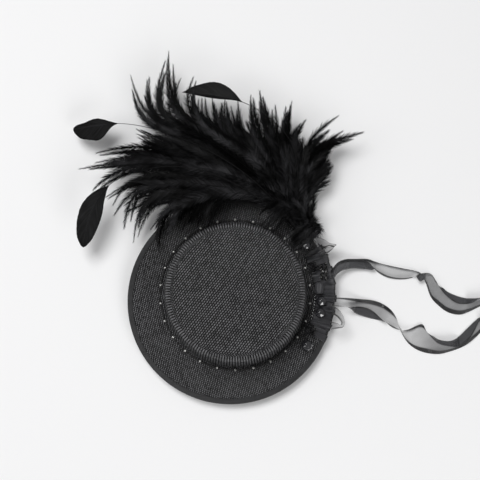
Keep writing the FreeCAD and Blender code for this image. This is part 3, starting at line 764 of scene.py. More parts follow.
def feather_tree():
    """Barbs on both sides of every quill, and the quill itself."""
    tree, given, end = new_tree("Feather barbs", Barb_Step=0.0005, Barb_Width=0.05, Curl=0.16,
                                Droop=0.12, Unruly=0.16, Tufts=0.5, Taper=0.93, Seed=1)
    quills = add(tree, "GeometryNodeMeshToCurve", {"Mesh": given["Geometry"]}).outputs[0]
    dotted = add(tree, "GeometryNodeResampleCurve", {"Curve": quills}, mode="LENGTH")
    tree.links.new(given["Barb Step"], dotted.inputs["Length"])
    tangent = tree.nodes.new("GeometryNodeInputTangent").outputs[0]
    over = attribute(tree, "vane_up", "FLOAT_VECTOR")
    side_way = vector_calc(tree, "NORMALIZE", vector_calc(tree, "CROSS_PRODUCT", over, tangent))
    reach = attribute(tree, "reach")
    lean = attribute(tree, "lean")
    place = tree.nodes.new("GeometryNodeInputPosition").outputs[0]
    clump = add(tree, "ShaderNodeTexNoise", {"Vector": place, "Scale": 330.0, "Detail": 1.0})
    parts = []
    for number, side in enumerate((1.0, -1.0)):
        seed = calc(tree, "ADD", given["Seed"], float(number * 10))
        jitter = chance(tree, calc(tree, "MULTIPLY", given["Unruly"], -1.0), given["Unruly"],
                        seed)
        tuft = calc(tree, "MULTIPLY_ADD", clump.outputs["Fac"], side, -0.5 * side)
        tuft = calc(tree, "MULTIPLY", tuft, given["Tufts"])
        angle = calc(tree, "ADD", calc(tree, "ADD", lean, jitter), tuft)
        forward = vector_calc(tree, "SCALE", tangent, scale=calc(tree, "COSINE", angle))
        outward = vector_calc(tree, "SCALE", side_way,
                              scale=calc(tree, "MULTIPLY", calc(tree, "SINE", angle), side))
        lifted = vector_calc(tree, "SCALE", over, scale=chance(tree, -0.14, 0.2, seed))
        way = vector_calc(tree, "ADD", vector_calc(tree, "ADD", forward, outward), lifted)
        turn = add(tree, "FunctionNodeAxesToRotation",
                   {"Primary Axis": way, "Secondary Axis": over}, primary_axis="X",
                   secondary_axis="Z")
        spread = calc(tree, "MULTIPLY", given["Unruly"], -2.2)
        long = calc(tree, "MULTIPLY", reach,
                    calc(tree, "ADD", 1.0, chance(tree, spread, 0.0, seed)))
        scale = add(tree, "ShaderNodeCombineXYZ", {0: long, 1: long, 2: long})
        barbs = add(tree, "GeometryNodeInstanceOnPoints",
                    {"Points": dotted.outputs[0],
                     "Selection": calc(tree, "GREATER_THAN", reach, 0.3 * MM),
                     "Instance": bent_barb(tree, given, side), "Rotation": turn.outputs[0],
                     "Scale": scale.outputs[0]})
        # Barb tone: the feather's shade share plus the barb's own chance. Its lighter end is painted
        # highlight streaks.
        toned = add(tree, "GeometryNodeStoreNamedAttribute",
                    {"Geometry": barbs.outputs[0], "Name": "barb_tone"},
                    data_type="FLOAT", domain="INSTANCE")
        own = calc(tree, "MULTIPLY", chance(tree, 0.0, 1.0, seed), 0.35)
        tree.links.new(calc(tree, "MULTIPLY_ADD", attribute(tree, "shade"), 0.65, own),
                       toned.inputs["Value"])
        parts.append(toned.outputs[0])
    rods = rod(tree, quills, 5, 1.0, {"Scale": attribute(tree, "thick"), "Fill Caps": True})
    end_tree(tree, given, end, join(tree, rods, *parts))
    return tree


def stitch_tree():
    """Small rounded stitches laid end to end along every line of the base mesh."""
    tree, given, end = new_tree("Stitches along a line", Step=0.0027, Length=0.0017,
                                Radius=0.00025)
    line = add(tree, "GeometryNodeMeshToCurve", {"Mesh": given["Geometry"]}).outputs[0]
    dotted = add(tree, "GeometryNodeResampleCurve", {"Curve": line}, mode="LENGTH")
    tree.links.new(given["Step"], dotted.inputs["Length"])
    ball = add(tree, "GeometryNodeMeshUVSphere", {"Segments": 6, "Rings": 4, "Radius": 1.0})
    half = calc(tree, "MULTIPLY", given["Length"], 0.5)
    size = add(tree, "ShaderNodeCombineXYZ", {0: given["Radius"], 1: given["Radius"], 2: half})
    turn = add(tree, "FunctionNodeAlignRotationToVector",
               {"Vector": tree.nodes.new("GeometryNodeInputTangent").outputs[0]}, axis="Z")
    put = add(tree, "GeometryNodeInstanceOnPoints",
              {"Points": dotted.outputs[0], "Instance": ball.outputs[0],
               "Rotation": turn.outputs[0], "Scale": size.outputs[0]})
    end_tree(tree, given, end, put.outputs[0])
    return tree


def ring_bead_tree():
    """Round beads at even steps on a ring, each with its bore along the ring."""
    tree, given, end = new_tree("Beads on a ring", Ring_Radius=0.0579, Bead_Radius=0.00125,
                                Count=26, Level=0.005)
    ring = add(tree, "GeometryNodeMeshCircle", {"Vertices": given["Count"],
                                                "Radius": given["Ring Radius"]})
    half_step = calc(tree, "DIVIDE", math.pi, given["Count"])
    spin = add(tree, "ShaderNodeCombineXYZ", {2: half_step})
    rise = add(tree, "ShaderNodeCombineXYZ", {2: given["Level"]})
    moved = add(tree, "GeometryNodeTransform", {"Geometry": ring.outputs[0],
                                                "Translation": rise.outputs[0],
                                                "Rotation": spin.outputs[0]})
    ball = add(tree, "GeometryNodeMeshUVSphere", {"Segments": 14, "Rings": 10,
                                                  "Radius": given["Bead Radius"]})
    around = vector_calc(tree, "CROSS_PRODUCT", (0, 0, 1),
                         tree.nodes.new("GeometryNodeInputPosition").outputs[0])
    turn = add(tree, "FunctionNodeAlignRotationToVector", {"Vector": around}, axis="Z")
    put = add(tree, "GeometryNodeInstanceOnPoints",
              {"Points": moved.outputs[0], "Instance": ball.outputs[0],
               "Rotation": turn.outputs[0], "Scale": (1.0, 1.0, 0.86)})
    soft = add(tree, "GeometryNodeSetShadeSmooth", {"Geometry": put.outputs[0]})
    end_tree(tree, given, end, soft.outputs[0])
    return tree


def ring_cord_tree():
    """Two strands twisted round a ring."""
    tree, given, end = new_tree("Twisted ring cord", Ring_Radius=0.0579, Strand_Radius=0.0003,
                                Turns=120, Level=0.005)
    strands = []
    for phase in (0.0, math.pi):
        ring = add(tree, "GeometryNodeCurvePrimitiveCircle", {"Resolution": 1100,
                                                              "Radius": given["Ring Radius"]})
        along = tree.nodes.new("GeometryNodeSplineParameter").outputs["Factor"]
        turn = calc(tree, "MULTIPLY", along, calc(tree, "MULTIPLY", given["Turns"],
                                                  2 * math.pi))
        turn = calc(tree, "ADD", turn, phase)
        outward = vector_calc(tree, "NORMALIZE",
                              tree.nodes.new("GeometryNodeInputPosition").outputs[0])
        swing = calc(tree, "MULTIPLY", calc(tree, "COSINE", turn), given["Strand Radius"])
        lift = calc(tree, "MULTIPLY_ADD", calc(tree, "SINE", turn), given["Strand Radius"],
                    given["Level"])
        rise = add(tree, "ShaderNodeCombineXYZ", {2: lift})
        offset = vector_calc(tree, "ADD", vector_calc(tree, "SCALE", outward, scale=swing),
                             rise.outputs[0])
        wound = add(tree, "GeometryNodeSetPosition", {"Geometry": ring.outputs[0],
                                                      "Offset": offset})
        strands.append(rod(tree, wound.outputs[0], 6, given["Strand Radius"]))
    end_tree(tree, given, end, join(tree, *strands))
    return tree


def loop_tree():
    """A small thread loop on every point of the base mesh, turned by the point's way."""
    tree, given, end = new_tree("Thread loops", Loop_Radius=0.0018, Thread_Radius=0.0002)
    ring = add(tree, "GeometryNodeCurvePrimitiveCircle", {"Resolution": 14,
                                                          "Radius": given["Loop Radius"]})
    loop = rod(tree, ring.outputs[0], 5, given["Thread Radius"])
    turn = add(tree, "FunctionNodeAxesToRotation",
               {"Primary Axis": attribute(tree, "way_up", "FLOAT_VECTOR"),
                "Secondary Axis": attribute(tree, "way_out", "FLOAT_VECTOR")},
               primary_axis="Z", secondary_axis="X")
    put = add(tree, "GeometryNodeInstanceOnPoints",
              {"Points": given["Geometry"], "Instance": loop,
               "Rotation": turn.outputs[0], "Scale": (1.25, 0.85, 1.0)})
    soft = add(tree, "GeometryNodeSetShadeSmooth", {"Geometry": put.outputs[0]})
    end_tree(tree, given, end, soft.outputs[0])
    return tree


TREES = {}


def tree_of(name):
    """A node tree by its name, made when it is first asked for."""
    makers = {"feather": feather_tree, "stitch": stitch_tree, "bead": ring_bead_tree,
              "cord": ring_cord_tree, "loop": loop_tree}
    if name not in TREES:
        TREES[name] = makers[name]()
    return TREES[name]


def lines_mesh(name, lines, **values):
    """A mesh of open lines with values stored on their points."""
    vertices, edges = [], []
    for line in lines:
        first = len(vertices)
        vertices.extend(line)
        edges.extend((first + step, first + step + 1) for step in range(len(line) - 1))
    mesh = bpy.data.meshes.new(name)
    mesh.from_pydata(vertices, edges, [])
    for label, data in values.items():
        flat = [item for line in data for item in line]
        if isinstance(flat[0], Vector):
            store = mesh.attributes.new(label, "FLOAT_VECTOR", "POINT")
            store.data.foreach_set("vector", [part for item in flat for part in item])
        else:
            store = mesh.attributes.new(label, "FLOAT", "POINT")
            store.data.foreach_set("value", flat)
    return mesh


# ---------------------------------------------------------------- brim and crown

def brim_drop(place):
    """How far the brim hangs below its flat plane at a place: a slow wave near its edge."""
    offset = Vector((place.x - BRIM_MIDDLE.x, place.y - BRIM_MIDDLE.y))
    share = (offset.length / BRIM_RADIUS - 0.74) / 0.26
    if share <= 0:
        return 0.0
    angle = math.atan2(offset.y, offset.x)
    wave = 0.5 + 0.3 * math.sin(2 * angle + 0.6) + 0.2 * math.sin(3 * angle + 2.1)
    return sizes().brim_dip * min(share, 1.1) ** 2 * wave


def ring_section(name, section, columns, material):
    """A closed section of pairs (out from the brim's radius, up from its middle) taken round it."""
    lengths = [0.0]
    for (r0, z0), (r1, z1) in zip(section, section[1:] + section[:1]):
        lengths.append(lengths[-1] + math.hypot(r1 - r0, z1 - z0))

    def place(row, column):
        out, up = section[row % len(section)]
        spot = BRIM_MIDDLE + heading(2 * math.pi * column / columns) * (BRIM_RADIUS + out)
        return spot + UP * (up - brim_drop(spot))

    def uv(row, column):
        return (2 * math.pi * column / columns * BRIM_RADIUS, lengths[row])

    piece = surface(name, len(section), columns, place, material, uv, True, True)
    return tidy(piece)


def brim_plate():
    """Woven plate from the head opening to the wired edge, with a slow wave."""
    low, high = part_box("brim")
    centre = Vector((BRIM_MIDDLE.x, BRIM_MIDDLE.y, 0))
    inner = 50.0 * MM
    rings = 16
    columns = 180
    levels = [(share / rings, high.z) for share in range(rings + 1)]
    levels += [(1 - share / rings, low.z) for share in range(rings + 1)]

    def place(row, column):
        share, level = levels[row % len(levels)]
        way = heading(2 * math.pi * column / columns)
        spot = (way * inner).lerp(centre + way * BRIM_RADIUS, share)
        ripple = 0.10 * MM * wobble(spot, 60.0) * math.sin(math.pi * share)
        return spot + UP * (level - brim_drop(spot) + ripple)

    piece = surface("straw_brim", len(levels), columns, place, finish("brim cloth"),
                    lambda row, column: place(row, column).xy, True, True)
    return tidy(piece)


class FASCINATOR_OT_brim(bpy.types.Operator):
    """Make the woven brim with its wire, folded binding and stitches"""

    bl_idname = "fascinator.brim"
    bl_label = "Brim"

    def execute(self, context):
        settle(brim_plate(), "straw_cloth", "brim")
        wire_ring = [(0.6 * MM + 0.45 * MM * math.cos(turn), 0.45 * MM * math.sin(turn))
                     for turn in (2 * math.pi * step / 8 for step in range(8))]
        wire = ring_section("edge_wire", wire_ring, 180, finish("wire"))
        settle(wire, "wire", "brim_wire")
        half = BRIM_MIDDLE.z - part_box("brim_binding")[0].z
        cloth = 0.4 * MM
        reach = reach_of("brim_binding") - BRIM_RADIUS
        inner = -2.6 * MM
        outside = [(inner, half - 0.1 * MM), (inner + 0.3 * MM, half), (reach - half, half)]
        outside += [(reach - half + half * math.sin(turn), half * math.cos(turn))
                    for turn in (math.pi * step / 8 for step in range(1, 8))]
        outside += [(reach - half, -half), (inner + 0.3 * MM, -half), (inner, -half + 0.1 * MM)]
        bend = half - cloth
        inside = [(inner, -bend), (reach - half, -bend)]
        inside += [(reach - half + bend * math.sin(turn), -bend * math.cos(turn))
                   for turn in (math.pi * step / 6 for step in range(1, 6))]
        inside += [(reach - half, bend), (inner, bend)]
        tape = ring_section("edge_binding", outside + inside, 240, finish("tape"))
        settle(tape, "edge_tape", "brim_binding")
        lines = []
        for level in (half + 0.05 * MM, -half - 0.05 * MM):
            line = []
            for step in range(241):
                spot = BRIM_MIDDLE + heading(2 * math.pi * step / 240) * (BRIM_RADIUS - 1.9 * MM)
                line.append(spot + UP * (level - brim_drop(spot)))
            lines.append(line)
        stitches = grow("edge_stitches", lines_mesh("edge_stitches", lines), tree_of("stitch"),
                        finish("thread"), Step=sizes().stitch_step, Length=1.7 * MM,
                        Radius=0.2 * MM)
        settle(stitches, "thread_wrap")
        return {"FINISHED"}


def crown_cap():
    """Cloth over the top of the crown, rounded and pleated over its rim and turned down."""
    top = CROWN_TOP
    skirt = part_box("crown_top")[0].z
    cloth = 0.55 * MM
    rim = reach_of("crown_top")
    plateau = 46.5 * MM
    flat = [(plateau * share / 8, 0.0) for share in range(9)]
    turn_down = [(48.3 * MM, -0.08 * MM), (49.7 * MM, -0.32 * MM), (50.8 * MM, -0.85 * MM),
                 (51.5 * MM, -1.6 * MM), (51.95 * MM, -2.5 * MM)]
    outer = [(r, top + z) for r, z in flat + turn_down] + [(rim, skirt + 0.2 * MM)]
    inner = [(rim - cloth * 0.7, skirt)]
    inner += [(r - cloth * 0.75, top + z - cloth * 0.65) for r, z in reversed(turn_down)]
    inner += [(r, top + z - cloth) for r, z in reversed(flat)]
    profile = outer + inner
    columns = 192

    def place(row, column):
        radius, level = profile[row % len(profile)]
        angle = 2 * math.pi * column / columns
        spot = heading(angle) * radius + UP * level
        sag = 0.22 * MM * wobble(spot, 38.0, 3.0)
        gather = 0.10 * MM * math.sin(48 * angle) * max(radius / rim - 0.9, 0) * 10
        return spot + UP * sag + heading(angle) * gather

    def uv(row, column):
        radius = profile[row % len(profile)][0]
        angle = 2 * math.pi * column / columns
        if radius <= plateau + 0.1 * MM:
            return (heading(angle) * radius).xy
        return (heading(angle) * (plateau + (radius - plateau) * 2.2)).xy

    piece = surface("crown_cap", len(profile), columns, place, finish("crown cloth"), uv,
                    True, True)
    return tidy(piece)


def crown_band():
    """Cloth round the side of the crown, bulging a little."""
    low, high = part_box("crown_side")
    foot = reach_of("crown_side")
    lean = 4.0 / 30.0
    cloth = 0.6 * MM
    steps = 14
    columns = 216
    levels = [low.z + (high.z - low.z) * step / steps for step in range(steps + 1)]
    bulge = [0.25 * MM * math.sin(math.pi * step / steps) for step in range(steps + 1)]
    outer = [(foot - lean * (level - low.z) + out, level) for level, out in zip(levels, bulge)]
    inner = [(radius - cloth, level) for radius, level in reversed(outer)]
    profile = outer + inner

    def uv(row, column):
        return (2 * math.pi * column / columns * foot, profile[row % len(profile)][1])

    def place(row, column):
        radius, level = profile[row % len(profile)]
        return heading(2 * math.pi * column / columns) * radius + UP * level

    return tidy(surface("crown_band", len(profile), columns, place, finish("crown cloth"), uv,
                        True, True))


class FASCINATOR_OT_crown(bpy.types.Operator):
    """Make the crown's cap and side band, and finish the form and the felt under them"""

    bl_idname = "fascinator.crown"
    bl_label = "Crown"

    def execute(self, context):
        settle(crown_cap(), "crown_cloth", "crown_top")
        settle(crown_band(), "crown_cloth", "crown_side")
        for node in ("crown_form", "felt_base", "feather_patch"):
            paint_node(node, finish("felt"))
        return {"FINISHED"}


class FASCINATOR_OT_trim(bpy.types.Operator):
    """Wind the twisted cord round the crown's foot and thread its silver beads"""

    bl_idname = "fascinator.trim"
    bl_label = "Crown cord and beads"

    def execute(self, context):
        level = middle_of("crown_cord").z
        outer = reach_of("crown_cord")
        strand = 0.3 * MM
        ring = outer - 2 * strand
        cord = grow("twisted_cord", bpy.data.meshes.new("twisted_cord"), tree_of("cord"),
                    finish("cord"), Ring_Radius=ring, Strand_Radius=strand, Turns=130,
                    Level=level)
        settle(cord, "black_cord", "crown_cord")
        beads = grow("silver_trim_beads", bpy.data.meshes.new("silver_trim_beads"),
                     tree_of("bead"), finish("silver"), Ring_Radius=ring,
                     Bead_Radius=sizes().trim_bead, Count=26, Level=level)
        settle(beads, "silver_beads", "trim_beads")
        return {"FINISHED"}


# ---------------------------------------------------------------- feathers

# Hackles that stand out of the bunch: bend point and tip, X and Y in millimetres from the
# crown's axis, and the layer that each lies in, from 0 at the bottom.
PROUD_HACKLES = (
    (-48, 150, -52, 188, 3), (-60, 150, -55, 182, 2), (-74, 148, -82, 171, 1),
    (-66, 148, -67, 168, 2), (-64, 138, -71, 155, 0), (-48, 152, -43, 167, 1),
    (-37, 152, -33, 168, 2), (-31, 140, -32, 155, 3), (-25, 136, -26, 152, 0),
    (-15, 132, -18, 152, 1), (-8, 130, -8, 149, 2), (-4, 125, -6, 141, 3),
    (-90, 112, -107, 109, 2), (-96, 99, -120, 96, 3), (-86, 104, -101, 102, 0),
    (-98, 86, -110, 76, 1), (-86, 82, -99, 74, 2), (-84, 74, -93, 61, 0),
    (-80, 68, -84, 49, 3), (-73, 64, -78, 40, 1), (-68, 62, -75, 45, 0),
    (-66, 69, -83, 62, 2), (-50, 56, -58, 30, 1), (-52, 62, -64, 48, 3),
    (13, 138, 12, 154, 1), (22, 138, 19, 156, 2), (41, 132, 44, 150, 0),
    (38, 124, 39, 143, 2), (45, 118, 54, 134, 1), (45, 100, 49, 117, 3),
    (58, 118, 79, 136, 2), (69, 112, 98, 124, 1), (62, 109, 83, 126, 0),
    (57, 100, 75, 114, 2), (54, 91, 70, 108, 3), (-4, 131, -7, 149, 0),
    (4, 131, 2, 148, 3), (32, 127, 31, 145, 1), (-62, 119, -76, 127, 1),
    (-60, 116, -75, 122, 2), (-60, 112, -73, 117, 0),
)
# Edge of the bunch: direction from the root in degrees, reach in millimetres, and the
# direction in which feathers leave the root towards it.
BUNCH_EDGE = (
    (64, 62, 90), (68, 74, 91), (76, 74, 94), (86, 73, 98), (96, 77, 102), (106, 86, 106),
    (115, 94, 111), (123, 108, 116), (132, 121, 121), (138, 132, 125), (143, 138, 128),
    (149, 134, 131), (153, 150, 133), (158, 152, 135), (163, 138, 138), (169, 108, 141),
    (175, 102, 144), (179, 98, 147),
)
# The lowest feathers sweep round the crown and keep this far from its middle.
CROWN_CLEARANCE = 75 * MM
HACKLE_NODES = ("hackles_right", "hackles_upper_right", "hackles_top", "hackles_upper_left",
                "hackles_left", "hackles_lower_left")
GROUP_FROM = 50.0
GROUP_STEP = 23.0
FAN_REACH = 0.200
FLUFF_COUNT = 48
# Feathers in one bunch, so that no bunch grows too heavy to handle.
BUNCH_SIZE = 50


def strewn(number):
    """Shares from 0 to 1 that spread evenly however many are taken: golden section steps."""
    return number * 0.618034 % 1.0


def along_table(table, at, column):
    """Value in a table at a place, on straight runs between its rows."""
    for low, high in zip(table, table[1:]):
        if at <= high[0]:
            share = max((at - low[0]) / (high[0] - low[0]), 0)
            return low[column] + share * (high[column] - low[column])
    return table[-1][column]


def fan_height(place, layer):
    """Height of a layer of feathers: it arches over from the root and comes down again."""
    share = min(Vector((place.x - ROOT.x, place.y - ROOT.y)).length / FAN_REACH, 1)
    start = ROOT_UNDER + (0.6 + layer) * MM
    return start + (6 + 4.5 * layer) * MM * 4 * share * (1 - share)


def easy_line(points, leave, steps):
    """Points at even steps on a smooth curve through given ones, leaving the first one's way."""
    runs = [(after - before).length for before, after in zip(points, points[1:])]
    ways = [leave]
    for index in range(1, len(points) - 1):
        into = (points[index] - points[index - 1]) / runs[index - 1]
        away = (points[index + 1] - points[index]) / runs[index]
        ways.append((into * runs[index] + away * runs[index - 1]) / (runs[index] + runs[index - 1]))
    ways.append((points[-1] - points[-2]) / runs[-1] * 1.5 - ways[-1] * 0.5)
    whole = sum(runs)
    line = []
    for step in range(steps + 1):
        at = whole * step / steps
        index = 0
        while index < len(runs) - 1 and at > runs[index]:
            at -= runs[index]
            index += 1
        run = runs[index]
        part = min(at / run, 1)
        square, cube = part ** 2, part ** 3
        line.append(points[index] * (2 * cube - 3 * square + 1)
                    + ways[index] * run * (cube - 2 * square + part)
                    + points[index + 1] * (3 * square - 2 * cube)
                    + ways[index + 1] * run * (cube - square))
    return line


def clear_of_crown(place, clearance):
    """The same place, moved out where it would cross the crown."""
    radius = place.to_2d().length
    over = radius - clearance
    if over > 12 * MM:
        return place
    soft = math.sqrt(over ** 2 + (4 * MM) ** 2)
    wanted = clearance + (over + soft) / 2
    return place * (wanted / radius)


def quill_line(bend, tip, layer, steps, leave, lift, clearance):
    """A hackle's quill: it leaves the root, passes its bend point and turns to its tip."""
    way = heading(leave)
    start = Vector((ROOT.x, ROOT.y, 0)) - way * (2.0 * MM)
    points = [start, start + way * (bend - start).length * 0.42, bend, tip]
    line = []
    for step, spot in enumerate(easy_line(points, way, steps)):
        share = step / steps
        widening = clearance - 9 * MM * max(1 - share * 4, 0)
        clear = clear_of_crown(spot, widening).lerp(spot, max(share - 0.8, 0) * 5)
        level = fan_height(spot, layer) + lift * share ** 2
        line.append(Vector((clear.x, clear.y, level)))
    return line


def vane(points, rng, reach, fluff):
    """Barb length, barb angle, quill radius and vane normal along one hackle."""
    last = len(points) - 1
    roll = rng.uniform(-0.7, 0.7)
    reaches, leans, thicks, normals = [], [], [], []
    for index, point in enumerate(points):
        share = index / last
        before, after = points[max(index - 1, 0)], points[min(index + 1, last)]
        way = (after - before).normalized()
        side = UP.cross(way).normalized()
        normal = (UP * math.cos(roll) + side * math.sin(roll)).normalized()
        body = min(share / 0.2, 1)
        fade = 1 - 0.25 * max(share - 0.5, 0) / 0.35 - 0.35 * max(share - 0.85, 0) / 0.15
        reaches.append(reach * body * fade * (1 + fluff * 0.2 * math.sin(9 * share)))
        leans.append(math.radians(44 - 14 * share - 12 * max(share - 0.85, 0) / 0.15))
        thicks.append(sizes().quill_radius * (1 - 0.82 * share))
        normals.append(normal)
    return reaches, leans, thicks, normals


def hackle_group(place):
    """Number of the fan group that a feather's tip belongs to."""
    step = int((direction_of(place) - GROUP_FROM) // GROUP_STEP)
    return min(max(step, 0), len(HACKLE_NODES) - 1)


def direction_of(place):
    """Direction of a place from the root, in degrees from -60 to 300."""
    offset = (place - ROOT).to_2d()
    angle = math.degrees(math.atan2(offset.y, offset.x)) % 360
    return angle - 360 if angle > 300 else angle


def fan_feathers(rng):
    """Every hackle as bend point, tip, layer, barb length and direction on leaving the root."""
    feathers = []
    for bend_x, bend_y, tip_x, tip_y, layer in PROUD_HACKLES:
        bend = Vector((bend_x, bend_y, 0)) * MM
        tip = Vector((tip_x, tip_y, 0)) * MM
        leave = along_table(BUNCH_EDGE, direction_of(tip), 2)
        feathers.append((bend, tip, layer, rng.uniform(7.5, 9.5) * MM, leave))
        for companion in range(2 if direction_of(tip) < 164 else 1):
            shift = Vector((rng.uniform(-3, 3), rng.uniform(-3, 3), 0)) * MM
            near = tip.lerp(bend, rng.uniform(0.15, 0.6)) + shift
            feathers.append((bend + shift * 1.3, near, rng.choice((0, 1, 2)),
                             rng.uniform(8.0, 10.5) * MM, leave + rng.uniform(-4, 4)))
    first, last = BUNCH_EDGE[0][0], BUNCH_EDGE[-1][0]
    for number in range(sizes().hackle_count):
        angle = first + (last - first) * strewn(number)
        reach = along_table(BUNCH_EDGE, angle, 1) * MM * (1 - 0.42 * rng.random() ** 2)
        leave = along_table(BUNCH_EDGE, angle, 2) + rng.uniform(-5, 5)
        tip = ROOT + heading(math.radians(angle + rng.uniform(-4, 4))) * reach
        bend_angle = math.radians((leave + angle * 2) / 3 + rng.uniform(-2, 2))
        bend = ROOT + heading(bend_angle) * reach * rng.uniform(0.62, 0.72)
        bend.z = tip.z = 0
        feathers.append((bend, tip, rng.choice((0, 1, 1, 2, 2, 3)),
                         rng.uniform(8.5, 11.5) * MM, leave))
    for number in range(FLUFF_COUNT):
        angle = 62 + 218 * strewn(number)
        ahead = 40 < angle < 190
        reach = (rng.uniform(18, 34) if ahead else rng.uniform(7, 12)) * MM
        tip = ROOT + heading(math.radians(angle)) * reach
        bend = ROOT + heading(math.radians(angle + rng.uniform(-12, 12))) * reach * 0.6
        bend.z = tip.z = 0
        feathers.append((bend, tip, rng.uniform(4.0, 6.0), rng.uniform(6.0, 8.0) * MM, angle))
    return feathers


class FASCINATOR_OT_hackles(bpy.types.Operator):
    """Grow the fan of hackle feathers from the wrapped root"""

    bl_idname = "fascinator.hackles"
    bl_label = "Hackle fan"

    def execute(self, context):
        rng = random.Random(sizes().seed)
        groups = [([], [], [], [], []) for node in HACKLE_NODES]
        for bend, tip, layer, reach, leave in fan_feathers(rng):
            points = quill_line(bend, tip, layer + rng.uniform(-0.2, 0.3), 26,
                                math.radians(leave), rng.uniform(-2.5, 2.5) * MM,
                                CROWN_CLEARANCE + rng.uniform(0, 7) * MM)
            values = vane(points, rng, reach, rng.random())
            for store, value in zip(groups[hackle_group(tip)], (points, *values)):
                store.append(value)
        for node, group in zip(HACKLE_NODES, groups):
            # A share per feather that lightens its barbs: random tone and painted highlight streaks.
            shades = [[strewn(number)] * len(line)
                      for number, line in enumerate(group[0])]
            for start in range(0, len(shades), BUNCH_SIZE):
                lines, reaches, leans, thicks, normals, tones = (
                    values[start:start + BUNCH_SIZE] for values in (*group, shades))
                name = f"{node}_fan_{start // BUNCH_SIZE + 1}"
                base = lines_mesh(name, lines, reach=reaches, lean=leans, thick=thicks,
                                  vane_up=normals, shade=tones)
                fan = grow(name, base, tree_of("feather"), finish("hackle"),
                           Barb_Step=sizes().barb_step, Barb_Width=0.055, Curl=0.10,
                           Droop=0.12, Unruly=0.10, Tufts=0.45, Taper=0.93,
                           Seed=sizes().seed)
                settle(fan, "hackle", node)
        return {"FINISHED"}


# Trimmed feathers: node, heading on leaving the root in degrees, bend of the bare quill,
# places along the quill from the leaf's stem to its cut end, and half widths of the leaf on
# its left and right hand, seen from the root. All are in millimetres.
LEAF_FEATHERS = (
    ("leaf_feather_left", 122, (-46, 119), ((-92, 131), (-110, 131), (-127, 129)),
     (0.3, 3.6, 9.8, 12.6, 11.8, 10.4, 8.4, 4.2), (0.3, 1.6, 3.4, 4.8, 4.6, 3.4, 3.0, 2.4)),
    ("leaf_feather_top", 96, (40, 118), ((6, 145), (-17, 151), (-41, 154.5)),
     (0.3, 0.8, 1.6, 2.2, 2.3, 1.8, 0.9, 0.2), (0.3, 4.6, 8.4, 10.2, 9.6, 7.2, 4.4, 0.4)),
    ("leaf_feather_lower", 134, (-62, 94), ((-97, 81), (-110, 61), (-116, 35)),
     (0.3, 3.2, 6.0, 8.3, 8.8, 8.0, 6.0, 2.8), (0.3, 4.2, 7.4, 9.0, 8.6, 7.6, 5.8, 2.8)),
)
LEAF_DROOP = 5.0 * MM


def leaf_blade(node, spine, left, right):
    """The close vane of a trimmed feather: a thin cupped sheet with a clean edge."""
    steps = len(spine) - 1
    columns = 12
    halves = [smooth_line([(value,) for value in side], steps) for side in (left, right)]

    def place(row, column):
        across = column / columns * 2 - 1
        way = (spine[min(row + 1, steps)] - spine[max(row - 1, 0)]).normalized()
        side = UP.cross(way).normalized()
        ending = max(row / steps - 0.88, 0) / 0.12
        half = halves[0 if across > 0 else 1][row][0] * MM * math.sqrt(1.02 - ending ** 2)
        nick = 0.25 * MM * wobble(spine[row] + side * across * half, 700.0)
        cup = 0.12 * half * across ** 2
        return spine[row] + side * across * (half + nick) + UP * (cup - 0.1 * MM)

    def uv(row, column):
        across = column / columns * 2 - 1
        return (across * 9 * MM, row * 0.6 * MM)

    piece = surface(f"{node}_cut", steps, columns, place, finish("leaf"), uv)
    return thicken(piece, 0.18 * MM)


def leaf_feather(node, leave, bend, places, left, right):
    """A bare quill whose tip keeps a close vane cut to a leaf."""
    way = heading(math.radians(leave))
    start = Vector((ROOT.x, ROOT.y, 0)) + way * 4 * MM
    stops = [start] + [Vector((*place, 0)) * MM for place in (bend, *places)]
    steps = 72
    line = easy_line(stops, way, steps)
    stem = min(range(steps), key=lambda step: (line[step] - stops[2]).length)
    points = []
    for step, spot in enumerate(line):
        droop = LEAF_DROOP * (step / steps) ** 2
        points.append(Vector((spot.x, spot.y, fan_height(spot, 4) - droop)))
    quill = tube(f"{node}_quill", points, 0.42 * MM, finish("leaf"), 6,
                 taper=lambda share: 1 - 0.6 * share)
    spine = [Vector(value) for value in smooth_line(points[stem:], 40)]
    blade = leaf_blade(node, spine, left, right)
    return settle(joined(f"{node}_cut", [blade, quill], finish("leaf")), "leaf_vane", node)


def wrapped_root():
    """Quill ends bound with thread: a low lump with rows of windings."""
    low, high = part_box("quill_binding")
    centre = Vector((ROOT.x, ROOT.y, 0))
    full = reach_of("quill_binding") - 0.3 * MM
    tall = high.z - low.z
    turns = 12
    rows = turns * 6
    columns = 40

    def place(row, column):
        share = row / rows
        angle = 2 * math.pi * column / columns
        ridge = 0.18 * MM * math.cos(2 * math.pi * (share * turns + column / columns))
        belly = math.sqrt(max(1 - (max(share - 0.55, 0) / 0.45) ** 2.4, 0))
        radius = (full - 0.6 * MM * (1 - share)) * belly + ridge * min(belly * 2, 1)
        knob = 1 + 0.04 * math.sin(5 * angle)
        return centre + heading(angle) * radius * knob + UP * (low.z + tall * share * 0.97)

    piece = surface("root_windings", rows, columns, place, finish("thread"),
                    closed_columns=True)
    return settle(tidy(close_ends(piece)), "thread_wrap", "quill_binding")


class FASCINATOR_OT_leaf_feathers(bpy.types.Operator):
    """Grow the three trimmed leaf feathers and wind the feather root"""

    bl_idname = "fascinator.leaf_feathers"
    bl_label = "Leaf feathers and root"

    def execute(self, context):
        for row in LEAF_FEATHERS:
            leaf_feather(*row)
        wrapped_root()
        return {"FINISHED"}


# ---------------------------------------------------------------- flowers and stones

